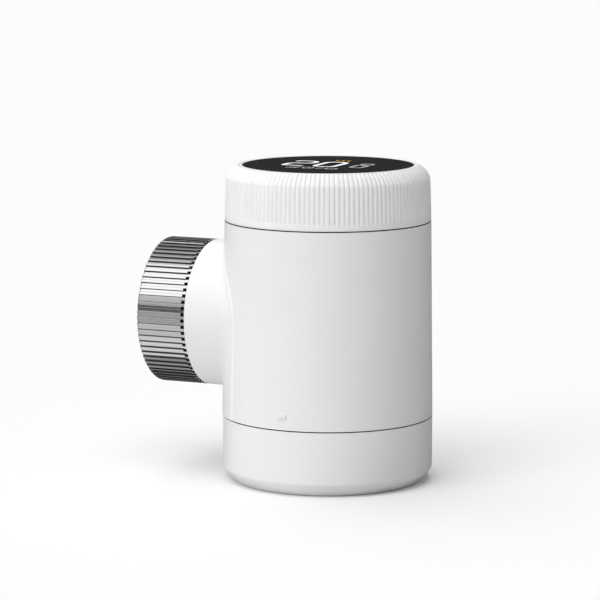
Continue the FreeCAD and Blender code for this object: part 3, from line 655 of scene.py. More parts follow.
# Painted shade: black for pieces set in seams, gaps and notches where only shade falls.
SHADE_BLACK = Finish("painted_shade_black", (0.006, 0.006, 0.006), 0.8, specular=0.05, mottle=0.05)
SWITCH_BLACK = Finish("switch_black_moulding", (0.012, 0.012, 0.012), 0.4, mottle=0.05)
NATURAL_ACETAL = Finish("natural_acetal", (0.76, 0.72, 0.62), 0.38, mottle=0.03, grain=0.002)
BOARD_GREEN = BoardFinish("board_lacquer", (0.012, 0.1, 0.04), 0.3, grain=0.002)
PANEL_GREY = Finish("display_panel_grey", (0.05, 0.05, 0.055), 0.2, mottle=0.03)
TURNED_STEEL = DrawnFinish("turned_steel", (0.56, 0.56, 0.57), 0.3, metallic=1.0, mottle=0.03,
                           grain=0.002, stretch=(1.0, 6.0, 6.0))
SPRING_STEEL = DrawnFinish("rolled_spring_steel", (0.62, 0.61, 0.59), 0.26, metallic=1.0, mottle=0.04,
                           grain=0.001, stretch=(6.0, 1.0, 1.0))
TURNED_BRASS = DrawnFinish("turned_brass", (0.72, 0.5, 0.2), 0.28, metallic=1.0, mottle=0.03,
                           grain=0.002, stretch=(1.0, 6.0, 6.0))
CELL_WRAP = WrapFinish("cell_wrap", (0.02, 0.045, 0.09), 0.3, mottle=0.02)


# Drum, foot and dial


@dataclass
class Drum:
    """White wall of the drum, and the faintly raised panel and short neck in its inverted-U opening."""

    low_radius: float = 26.5
    low_radius_z: float = 16.45
    high_radius: float = 25.93
    high_radius_z: float = 65.76
    wall: float = 1.8
    bottom_z: float = 16.6
    top_z: float = 65.61
    arch_radius: float = 20.2
    panel_gap: float = 0.03
    panel_slope: float = 0.35
    panel_drop: float = 0.08
    panel_rise: float = 0.15
    neck_radius: float = 18.6
    neck_reach: float = 31.4
    neck_bore: float = 16.6
    neck_end_wall: float = 1.8
    outlet_radius: float = 12.38
    outlet_edge: float = 0.2
    root_length: float = 2.1
    neck_edge: float = 0.25
    end_hold: float = 1.0
    bore_start_d: float = 27.5
    broken_edge: float = 0.03
    edge_depth: float = 0.3
    edge_slack: float = 0.001
    mark_x: float = -0.8
    mark_z: float = 20.2
    mark_length: float = 2.6
    mark_width: float = 1.55
    mark_height: float = 0.34
    mark_flat: float = 0.7
    mark_root: float = 0.2
    mark_rings: tuple[float, ...] = (1.01, 1.0, 0.995, 0.98, 0.95, 0.91, 0.86, 0.8, 0.7, 0.35, 0.0)
    mark_columns: int = 72
    mark_crease_deg: float = 60.0
    shade_ring_recess: float = 0.1
    shade_ring_width: float = 1.1
    shade_ring_edge: float = 0.03
    shade_ring_low: tuple[float, float] = (16.32, 16.61)
    shade_ring_high: tuple[float, float] = (65.6, 65.88)
    wall_rows: int = 20
    wall_columns: int = 260
    arch_columns: int = 120
    panel_columns: int = 288
    panel_rows: int = 8
    root_rows: int = 12
    neck_rows: int = 8

    @property
    def panel_half(self) -> float:
        """Half the panel's width."""
        return self.arch_radius - self.panel_gap

    def radius(self, z: np.ndarray) -> np.ndarray:
        """Outer radius at a height: one straight draft from seam to seam."""
        share = (z - self.low_radius_z) / (self.high_radius_z - self.low_radius_z)
        return self.low_radius + share * (self.high_radius - self.low_radius)

    def at_angle(self, angle: np.ndarray, z: np.ndarray, inset: float) -> np.ndarray:
        """Points of the wall at an angle from -X towards +Y and a height, inset from its outside."""
        radius = self.radius(z) - inset
        return np.stack([-radius * np.cos(angle), radius * np.sin(angle), z + 0.0 * angle], -1)

    def at_neck(self, y: np.ndarray, z: np.ndarray, inset: float | np.ndarray) -> np.ndarray:
        """Points of the wall straight behind a point of the neck's cross-section: x = -sqrt(r^2 - y^2)."""
        radius = self.radius(z) - inset
        return np.stack([-np.sqrt(radius * radius - y * y), y, z], -1)

    def wall_sheets(self, inset: float) -> tuple[np.ndarray, np.ndarray, np.ndarray]:
        """The wall round the opening as three grids: beside it, above its springing, and over its arch.

        The side edge of the opening lies at the angle asin(arch radius / wall radius). The arch's edge
        is (arch radius cos s, neck height + arch radius sin s) for s from 0 to pi, and each of its
        columns rises to a point that divides the upper edge evenly.

        Args:
            inset: Depth under the outer face.

        Returns:
            The three grids of points.
        """
        share = np.linspace(0.0, 1.0, self.wall_rows)[:, None]
        round_share = np.linspace(0.0, 1.0, self.wall_columns)[None]
        z = self.bottom_z + share * (VALVE_HEIGHT - self.bottom_z)
        edge = np.arcsin(self.arch_radius / (self.radius(z) - inset))
        beside = self.at_angle(edge + round_share * (FULL_TURN - 2 * edge), z, inset)
        spring = math.asin(self.arch_radius / (float(self.radius(np.array(VALVE_HEIGHT))) - inset))
        z = VALVE_HEIGHT + share * (self.top_z - VALVE_HEIGHT)
        above = self.at_angle(spring + round_share * (FULL_TURN - 2 * spring), z, inset)
        turn = np.linspace(0.0, math.pi, self.arch_columns)[None]
        low = VALVE_HEIGHT + self.arch_radius * np.sin(turn)
        start = np.arcsin(self.arch_radius * np.cos(turn) / (self.radius(low) - inset))
        end = spring * (1.0 - 2.0 * turn / math.pi)
        over = self.at_angle(start + share * (end - start), low + share * (self.top_z - low), inset)
        return beside, above, over

    def sleeve_patches(self) -> list[Patch]:
        """Outer and inner sheets, and the strips that join them along the two rims.

        Returns:
            The patches of the closed sleeve.
        """
        patches, rims = [], []
        for inset in (0.0, self.wall):
            beside, above, over = self.wall_sheets(inset)
            patches += [Patch(sheet, closed_columns=False) for sheet in (beside, above, over)]
            lower = np.concatenate([beside[0], beside[1:, -1], over[0, ::-1][1:-1], beside[::-1, 0][:-1]])
            upper = np.concatenate([above[-1], over[-1, ::-1][1:-1]])
            rims.append((lower, upper))
        for outer, inner in zip(*rims):
            patches.append(Patch(np.stack([outer, inner])))
        return patches

    def panel_edge(self, turn: np.ndarray) -> np.ndarray:
        """Distance from the neck's axis to the panel's edge: a half round over straight sides and foot.

        Args:
            turn: Angle about the neck's axis.

        Returns:
            The distance at each angle.
        """
        drop = VALVE_HEIGHT - self.bottom_z
        with np.errstate(divide="ignore"):
            straight = np.minimum(self.panel_half / np.abs(np.cos(turn)), drop / np.abs(np.sin(turn)))
        return np.where(np.sin(turn) >= 0, self.panel_half, straight)

    def off_foot(self, turn: np.ndarray) -> np.ndarray:
        """Whether the panel's edge at an angle belongs to its sides or arch, and not to its foot."""
        across = self.panel_edge(turn) * np.abs(np.cos(turn))
        return (np.sin(turn) >= 0) | (across > self.panel_half - self.edge_slack)

    def root_curve(self, turn: np.ndarray) -> tuple[np.ndarray, np.ndarray]:
        """Blend between the panel and the neck, in each plane through the neck's axis.

        The panel there is d = sqrt(R^2 - (r cos a)^2) + rise, and its slope is taken as
        -r cos(a)^2 / d. The blend is the curve (1 - t)^2 T + 2 t (1 - t) C + t^2 E from T on the
        panel to E on the neck, and C is the corner where the panel's tangent meets the neck.

        Args:
            turn: Angle about the neck's axis.

        Returns:
            Radius and distance of its points, each (rows, columns).
        """
        start = self.panel_half - self.panel_slope
        across = start * np.cos(turn)
        drum = self.radius(VALVE_HEIGHT + start * np.sin(turn))
        out = np.sqrt(drum * drum - across * across) + self.panel_rise
        corner = out + (start - self.neck_radius) * start * np.cos(turn) ** 2 / out
        t = np.linspace(0, 1, self.root_rows)[:, None]
        radius = (1 - t) ** 2 * start + (2 * t * (1 - t) + t * t) * self.neck_radius
        along = (1 - t) ** 2 * out + 2 * t * (1 - t) * corner + t * t * (corner + self.root_length)
        return radius + 0 * turn, along

    def saddle_patch(self) -> Patch:
        """Panel, fillet, neck, its end face and outlet, and back along the inner faces.

        Each column lies in a half plane through the neck's axis, so every row is a closed loop
        round it. The panel's edge is sunk along its sides and arch, and level with it at its foot.

        Returns:
            The closed patch.
        """
        corner = math.atan2(VALVE_HEIGHT - self.bottom_z, self.panel_half)
        turn = np.unique(np.concatenate([np.linspace(-math.pi, math.pi, self.panel_columns + 1)[:-1],
                                         [-corner, corner - math.pi]]))
        edge = self.panel_edge(turn)
        top = edge - self.panel_slope
        root_r, root_d = self.root_curve(turn)

        def on_wall(radius: np.ndarray, inset: float | np.ndarray) -> np.ndarray:
            """Row of points on the wall at a radius from the neck's axis."""
            return self.at_neck(radius * np.cos(turn), VALVE_HEIGHT + radius * np.sin(turn), inset)

        def off_wall(radius: float | np.ndarray, along: float | np.ndarray) -> np.ndarray:
            """Row of points at a radius from the neck's axis and a distance along it."""
            return place(Axis.VALVE, radius, along, turn)

        straight_end = self.neck_reach - self.end_hold
        inner_end = self.neck_reach - self.neck_end_wall
        end = rounded_line([
            (self.neck_radius, straight_end, 0), (self.neck_radius, self.neck_reach, self.neck_edge),
            (self.outlet_radius, self.neck_reach, self.outlet_edge), (self.outlet_radius, inner_end, 0),
            (self.neck_bore, inner_end, 0), (self.neck_bore, self.bore_start_d, 0),
        ])
        rows = [on_wall(edge, np.where(self.off_foot(turn), self.panel_drop, -self.panel_rise))]
        rows += [on_wall(top + (root_r[0] - top) * share, -self.panel_rise)
                 for share in np.linspace(0, 1, self.panel_rows + 1)[:-1]]
        rows += [off_wall(radius, along) for radius, along in zip(root_r, root_d)]
        rows += [off_wall(self.neck_radius, root_d[-1] + share * (straight_end - root_d[-1]))
                 for share in np.linspace(0, 1, self.neck_rows + 2)[1:-1]]
        rows += [off_wall(radius, along) for radius, along in end]
        rows += [on_wall(self.neck_bore + (edge - self.neck_bore) * share, self.wall)
                 for share in np.linspace(0, 1, self.panel_rows)]
        return Patch(np.stack(rows), closed_rows=True)

    def mark_patch(self) -> Patch:
        """Raised pill low on the front: rings from its foot to its middle, wrapped on the drum.

        A ring at share s of the pill's size is a straight middle with two half rounds of radius
        s * width / 2. Its height is height * sqrt(1 - e^2), where e goes from 0 to 1 over the
        rounded edge outside the flat top.

        Returns:
            The patch.
        """
        angle = np.arange(self.mark_columns) * FULL_TURN / self.mark_columns
        share = np.array(self.mark_rings)[:, None]
        half = (self.mark_length - self.mark_width) / 2
        straight = np.sign(np.cos(angle)) * half * np.minimum(share, 1.0)
        x = self.mark_x + (straight + share * np.cos(angle) * self.mark_width / 2)
        z = self.mark_z + share * np.sin(angle) * self.mark_width / 2
        edge = np.clip((share - self.mark_flat) / (1.0 - self.mark_flat), 0.0, 1.0)
        height = self.mark_height * np.sqrt(1.0 - edge * edge) - self.mark_root * (share > 1.0)
        radius = self.radius(z) + height
        return Patch(np.stack([x, -np.sqrt(radius * radius - x * x), z], -1))

    def shade_ring_patch(self, low_z: float, high_z: float) -> Patch:
        """Black ring in a seam, a little inside the wall's face: painted shade that darkens the seam's gap.

        Args:
            low_z: Height of its underside.
            high_z: Height of its top.

        Returns:
            The closed patch.
        """
        outer = float(self.radius(np.array(low_z))) - self.shade_ring_recess
        line = rounded_line([
            (outer - self.shade_ring_width, low_z, 0), (outer, low_z, self.shade_ring_edge),
            (outer, high_z, self.shade_ring_edge), (outer - self.shade_ring_width, high_z, 0),
        ])
        return turned_patch(line, closed=True)

    def highlight_edge_faces(self, mesh: bpy.types.Mesh) -> np.ndarray:
        """Which faces are the panel's outer sloping edge, beside and over the neck; they take the whiter
        painted-highlight finish.

        Args:
            mesh: The panel's mesh.

        Returns:
            True for each face whose middle lies within the slope, on the outer side of the wall.
        """
        centre = face_values(mesh, "center") / MM
        y, up = centre[:, 1], centre[:, 2] - VALVE_HEIGHT
        turn = np.arctan2(up, y)
        outer = np.hypot(centre[:, 0], y) > self.radius(centre[:, 2]) - self.edge_depth
        return self.off_foot(turn) & outer & (np.hypot(y, up) > self.panel_edge(turn) - self.panel_slope)

    def build(self) -> list[bpy.types.Object]:
        """Makes the sleeve, the neck panel with its painted edge highlight, the mark, and the black rings of
        painted shade in the two seams.

        Returns:
            The pieces.
        """
        sleeve = shell_object("drum_sleeve", self.sleeve_patches(), WHITE_SHELL)
        soften_edges(sleeve, self.broken_edge)
        saddle = shell_object("neck_panel", [self.saddle_patch()], WHITE_SHELL)
        # The panel's sloping edge gets a whiter finish: a painted highlight along the arch line.
        paint_faces(saddle, PANEL_EDGE_HIGHLIGHT, self.highlight_edge_faces(saddle.data))
        soften_edges(saddle, self.broken_edge)
        mark = shell_object("front_mark", [self.mark_patch()], WHITE_SHELL, self.mark_crease_deg)
        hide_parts("outer_sleeve")
        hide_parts("neck_saddle")
        for piece in (sleeve, saddle, mark):
            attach(piece, "housing")
        shade_rings = []
        # Black rings in the two seams: painted shade in the gaps.
        for name, span in (("seam_shade_ring_low", self.shade_ring_low), ("seam_shade_ring_high", self.shade_ring_high)):
            shade_ring = shell_object(name, [self.shade_ring_patch(*span)], SHADE_BLACK)
            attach(shade_ring, "housing")
            shade_rings.append(shade_ring)
        return [sleeve, saddle, mark, *shade_rings]


@dataclass
class Foot:
    """Twist-off foot: a cup with a drawn-in lower edge and three bayonet lugs inside."""

    seam_radius: float = 26.5
    seam_z: float = 16.3
    edge_radius: float = 26.42
    edge_z: float = 3.2
    flat_radius: float = 23.4
    edge_bulge: float = 0.14
    crease_deg: float = 11.0
    bore: float = 24.62
    floor: float = 2.2
    floor_radius: float = 22.14
    under_radii: tuple[float, ...] = (0.0, 12.0, 22.0, 23.2)
    edge_points: int = 14
    wall_start: float = 0.15
    seam_edge: float = 0.12
    inner_round: float = 0.8
    columns: int = 288
    lug_angles: tuple[float, ...] = (30.0, 150.0, 270.0)
    lug_z: float = 10.6
    lug_height: float = 2.0
    lug_length: float = 1.7
    lug_root: float = 0.6
    lug_width_deg: float = 14.0
    lug_columns: int = 9

    def cup_line(self) -> np.ndarray:
        """Section of the cup from the middle of its underside round to the middle of its floor.

        Returns:
            Points (n, 2) of the section.
        """
        under = arc_line((self.flat_radius, 0.0), (self.edge_radius, self.edge_z), self.edge_bulge,
                         self.edge_points)
        wall = rounded_line([
            (self.edge_radius, self.edge_z + self.wall_start, 0),
            (self.seam_radius, self.seam_z, self.seam_edge), (self.bore, self.seam_z, self.seam_edge),
            (self.bore, 2 * self.floor, self.inner_round),
            (self.floor_radius, self.floor, self.inner_round), (0.0, self.floor, 0),
        ])
        return np.concatenate([[(radius, 0.0) for radius in self.under_radii], under[1:-1], wall])

    def lug_patches(self, middle_deg: float) -> list[Patch]:
        """One lug: a short piece of a ring, closed at both ends.

        Args:
            middle_deg: Angle of its middle.

        Returns:
            Its side faces and its two ends.
        """
        share = np.linspace(0, 1, self.lug_columns) - 0.5
        angle = np.radians(middle_deg + self.lug_width_deg * share)[:, None]
        inner, outer = self.bore - self.lug_length, self.bore + self.lug_root
        z = self.lug_z + np.array([0, 0, self.lug_height, self.lug_height])
        return bar_patches(place(Axis.DRUM, np.array([inner, outer, outer, inner]), z, angle))

    def build(self) -> list[bpy.types.Object]:
        """Makes the foot.

        Returns:
            The cup with its lugs.
        """
        patches = [turned_patch(self.cup_line(), self.columns)]
        for angle in self.lug_angles:
            patches += self.lug_patches(angle)
        cup = shell_object("twist_foot", patches, WHITE_SHELL, self.crease_deg)
        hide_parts("base_cap")
        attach(cup, "base")
        return [cup]


@dataclass
class Dial:
    """Turning ring with 132 fine grooves that run up its wall and over its shoulder."""

    bottom_z: float = 65.9
    bottom_radius: float = 25.863
    top_radius: float = 25.535
    wall_top_z: float = 76.61
    top_z: float = 79.65
    rim_radius: float = 22.77
    shoulder_bulge: float = 0.372
    hold: float = 0.03
    foot_edge: float = 0.04
    foot_width: float = 0.6
    plain_z: tuple[float, ...] = (66.5, 67.0)
    close_z: tuple[float, float] = (67.2, 68.0)
    wide_z: tuple[float, float] = (69.0, 76.21)
    line_radius: float = 22.0
    line_half_width: float = 0.07
    line_depth: float = 0.07
    bore: float = 21.5
    bore_edge: float = 0.05
    inner_radius: float = 23.635
    rib_bore: float = 22.55
    rib_height: float = 1.5
    flange_z: float = 77.65
    flange_slope: float = 2.0
    groove_count: int = 132
    samples: int = 12
    groove_depth: float = 0.28
    groove_half_width: float = 0.34
    groove_start_z: float = 67.2
    runout: float = 0.6
    rim_fade: float = 0.12
    crease_deg: float = 50.0
    shade_ring_radius: float = 21.39
    shade_ring_z: tuple[float, float] = (78.3, 79.58)
    shade_ring_edge: float = 0.02
    shade_ring_overlap: float = 0.01

    def wall_radius(self, z: np.ndarray) -> np.ndarray:
        """Radius of the wall: it falls in with the square of the height."""
        share = (z - self.bottom_z) / (self.wall_top_z - self.bottom_z)
        return self.bottom_radius + (self.top_radius - self.bottom_radius) * share ** 2

    def outer_line(self) -> np.ndarray:
        """Outer section from the lower edge to the rim: (radius, z, groove share) of each point.

        The groove share is 1 where the grooves are full. It rises over the run-out above the plain
        band, where the rows lie close, and falls to nothing at the rim.

        Returns:
            Array (n, 3).
        """
        z = np.concatenate([[self.bottom_z + self.foot_edge, *self.plain_z], np.linspace(*self.close_z, 8),
                            np.linspace(*self.wide_z, 6), [self.wall_top_z - self.hold]])
        wall = np.stack([self.wall_radius(z), z], -1)
        foot = np.array([[self.bottom_radius - self.foot_edge, self.bottom_z]])
        shoulder = arc_line((self.top_radius, self.wall_top_z), (self.rim_radius, self.top_z),
                            self.shoulder_bulge, 18)
        step = (shoulder[1] - shoulder[0]) / np.linalg.norm(shoulder[1] - shoulder[0])
        last = (shoulder[-2] - shoulder[-1]) / np.linalg.norm(shoulder[-2] - shoulder[-1])
        line = np.concatenate([foot, wall, shoulder[:1], shoulder[:1] + self.hold * step, shoulder[1:-1],
                               shoulder[-1:] + self.hold * last, shoulder[-1:]])
        share = ease(self.groove_start_z, self.groove_start_z + self.runout, line[:, 1])
        share *= ease(self.rim_radius, self.rim_radius + self.rim_fade, line[:, 0])
        return np.concatenate([line, share[:, None]], -1)

    def ring_patch(self) -> Patch:
        """Whole ring. On the outside each point is drawn in along the section's normal.

        The depth is groove depth * share * (1 + cos(pi t)) / 2, with t the distance from the groove's
        middle over its half width, and none beyond it.

        Returns:
            The closed patch.
        """
        outer = self.outer_line()
        tangent = np.gradient(outer[:, :2], axis=0)
        tangent /= np.linalg.norm(tangent, axis=1)[:, None]
        normal = np.stack([tangent[:, 1], -tangent[:, 0]], -1)
        columns = self.groove_count * self.samples
        angle = np.arange(columns) * FULL_TURN / columns
        pitch = FULL_TURN / self.groove_count
        off = np.abs((angle / pitch + 0.5) % 1.0 - 0.5) * pitch * self.top_radius / self.groove_half_width
        notch = np.where(off < 1, (1 + np.cos(math.pi * np.minimum(off, 1))) / 2, 0.0)
        depth = self.groove_depth * outer[:, 2:] * notch[None]
        radius = outer[:, :1] - normal[:, :1] * depth
        z = outer[:, 1:2] - normal[:, 1:] * depth
        rib_top = self.bottom_z + self.rib_height
        inside = rounded_line([
            (self.rim_radius - self.hold, self.top_z, 0),
            (self.line_radius + self.line_half_width, self.top_z, 0),
            (self.line_radius, self.top_z - self.line_depth, 0),
            (self.line_radius - self.line_half_width, self.top_z, 0),
            (self.bore, self.top_z, self.bore_edge), (self.bore, self.flange_z, 0),
            ((self.bore + self.inner_radius) / 2, self.flange_z, 0),
            (self.inner_radius, self.flange_z - self.flange_slope, 0), (self.inner_radius, rib_top, 0),
            (self.rib_bore, rib_top, 0), (self.rib_bore, self.bottom_z, 0),
            (self.bottom_radius - self.foot_width, self.bottom_z, 0),
        ], step_deg=45)
        inside_r, inside_z = turned_rows(inside, columns)
        radius, z = np.concatenate([radius, inside_r]), np.concatenate([z, inside_z])
        return Patch(place(Axis.DRUM, radius, z, angle), closed_rows=True)

    def build(self) -> list[bpy.types.Object]:
        """Makes the dial, and the thin black ring in its bore: painted shade round the window's edge.

        Returns:
            The two pieces.
        """
        # The dial's whiter finish paints in the brighter light on its wall and shoulder.
        ring = shell_object("grooved_dial", [self.ring_patch()], DIAL_WHITE_LIT, self.crease_deg)
        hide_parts("dial_ring")
        # Black ring in the dial's bore: painted shade round the window's edge.
        back, (low, high) = self.bore + self.shade_ring_overlap, self.shade_ring_z
        line = rounded_line([(back, low, 0), (back, high, 0), (self.shade_ring_radius, high, self.shade_ring_edge),
                             (self.shade_ring_radius, low, 0)])
        shade_ring = shell_object("window_shade_ring", [turned_patch(line, closed=True)], SHADE_BLACK)
        for piece in (ring, shade_ring):
            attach(piece, "dial")
        return [ring, shade_ring]


# Display


@dataclass(frozen=True)
class Stroke:
    """One line of a figure on the display.

    Args:
        path: Points (n, 2) of its middle line, mm.
        width: Width of the line where it runs upright.
        closed: Whether its end meets its start.
        level: Thickness of its level runs as a share of the width.
    """

    path: np.ndarray
    width: float
    closed: bool = False
    level: float = 0.75

    def patches(self, low_z: float, high_z: float) -> list[Patch]:
        """Flat bar along the path: its edges are the path moved half a width along its normal.

        Args:
            low_z: Height of its underside.
            high_z: Height of its top.

        Returns:
            Its sides and, if it is open, its two ends.
        """
        if self.closed:
            tangent = np.roll(self.path, -1, 0) - np.roll(self.path, 1, 0)
        else:
            tangent = np.gradient(self.path, axis=0)
        tangent /= np.linalg.norm(tangent, axis=1)[:, None]
        offset = np.stack([-tangent[:, 1], self.level * tangent[:, 0]], -1) * self.width / 2
        left, right = self.path + offset, self.path - offset
        edges = ((left, low_z), (right, low_z), (right, high_z), (left, high_z))
        bar = np.stack([np.insert(edge, 2, z, axis=1) for edge, z in edges], 1)
        return [Patch(bar, closed_rows=True)] if self.closed else bar_patches(bar)


@dataclass
class Display:
    """Black press-in window, with the lit figures that show through its face."""

    radius: float = 21.35
    bottom_z: float = 78.23
    thickness: float = 1.4
    edge: float = 0.08
    under_edge: float = 0.1
    figure_proud: float = 0.02
    figure_depth: float = 0.05
    figure_width: float = 1.15
    small_width: float = 0.85
    icon_width: float = 0.5

    @property
    def face_z(self) -> float:
        """Height of the window's face."""
        return self.bottom_z + self.thickness

    def window_line(self) -> np.ndarray:
        """Section of the window from the middle of its underside to the middle of its face.

        Returns:
            Points (n, 2) of the section.
        """
        return rounded_line([
            (0.0, self.bottom_z, 0), (self.radius, self.bottom_z, self.under_edge),
            (self.radius, self.face_z, self.edge), (0.0, self.face_z, 0),
        ])

    def oblong(self, middle: tuple[float, float], half: tuple[float, float], corner: float) -> np.ndarray:
        """Closed upright oblong with round corners.

        Args:
            middle: Its middle.
            half: Half its width and half its height, to the middle of the line.
            corner: Radius of its corners.

        Returns:
            Points (n, 2) round it.
        """
        angle = np.arange(64) * FULL_TURN / 64
        ring = np.stack([np.cos(angle), np.sin(angle)], -1)
        straight = np.sign(np.round(ring, 9)) * (np.array(half) - corner)
        turned = np.array(middle) + straight + ring * corner
        steps = np.linalg.norm(np.roll(turned, -1, 0) - turned, axis=1)
        return turned[steps > 1e-9]

    def figure_strokes(self) -> list[Stroke]:
        """The two large figures, two and nought, set side by side.

        Returns:
            Their strokes.
        """
        two = rounded_line([
            (-10.2, 4.3, 0), (-10.2, 5.8, 1.4), (-4.8, 5.8, 2.0), (-4.8, 0.8, 2.0), (-10.2, 0.2, 2.0),
            (-10.2, -5.2, 0.8), (-4.6, -5.2, 0),
        ], step_deg=12)
        nought = self.oblong((0.6, 0.3), (2.6, 5.5), 2.0)
        return [Stroke(two, self.figure_width), Stroke(nought, self.figure_width, closed=True)]

    def small_strokes(self) -> list[Stroke]:
        """The degree ring, and the small nought under it."""
        rings = (self.oblong((9.2, 3.6), (1.4, 1.4), 1.2), self.oblong((9.1, -1.6), (1.5, 2.9), 1.2))
        return [Stroke(ring, self.small_width, closed=True) for ring in rings]

    def heat_strokes(self) -> list[Stroke]:
        """Three rising waves of warmth: x = x0 + 0.4 sin(2 pi t) as t goes up the wave.

        Returns:
            Their strokes.
        """
        share = np.linspace(0.0, 1.0, 25)
        sway, y = 0.4 * np.sin(FULL_TURN * share), 7.5 + 3.4 * share
        return [Stroke(np.stack([x + sway, y], -1), self.icon_width) for x in (-1.3, 0.2, 1.7)]

    def icon_strokes(self) -> list[Stroke]:
        """Row of small plain signs: signal bars, a clock, an arrow pair and a level bar.

        Returns:
            Their strokes.
        """
        width, low, middle = self.icon_width, -10.6, -9.0
        bars = [(x, low + 1.0 + 0.75 * i) for i, x in enumerate((-6.8, -6.0, -5.2, -4.4))]
        return [
            *(Stroke(np.array([[x, low], [x, top]]), width) for x, top in bars),
            Stroke(self.oblong((-1.5, middle), (1.3, 1.4), 1.25), width, closed=True),
            Stroke(np.array([[-1.5, -8.3], [-1.5, -9.1], [-0.9, -9.3]]), width * 0.8),
            Stroke(np.array([[0.9, -8.6], [1.6, -7.6], [2.3, -8.6]]), width),
            Stroke(np.array([[0.9, -9.5], [1.6, -10.5], [2.3, -9.5]]), width),
            Stroke(self.oblong((4.7, middle), (1.3, 1.1), 0.4), width, closed=True),
        ]

    def lit_piece(self, name: str, strokes: list[Stroke], finish: Finish) -> bpy.types.Object:
        """Makes one group of figures as a thin piece in the window's face.

        Args:
            name: Name of the piece.
            strokes: Its strokes.
            finish: Its finish.

        Returns:
            The piece.
        """
        low, high = self.face_z - self.figure_depth, self.face_z + self.figure_proud
        piece = shell_object(name, [p for s in strokes for p in s.patches(low, high)], finish)
        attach(piece, "window")
        return piece

    def build(self) -> list[bpy.types.Object]:
        """Makes the window and its figures.

        Returns:
            The pieces.
        """
        pane = shell_object("display_pane", [turned_patch(self.window_line())], PANE_BLACK)
        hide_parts("display_window")
        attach(pane, "window")
        return [
            pane,
            self.lit_piece("figure_twenty", self.figure_strokes(), LIT_WHITE),
            self.lit_piece("figure_small", self.small_strokes(), LIT_DIM),
            self.lit_piece("sign_heat", self.heat_strokes(), LIT_ORANGE),
            self.lit_piece("sign_row", self.icon_strokes(), LIT_DIM),
        ]


# Coupling nut


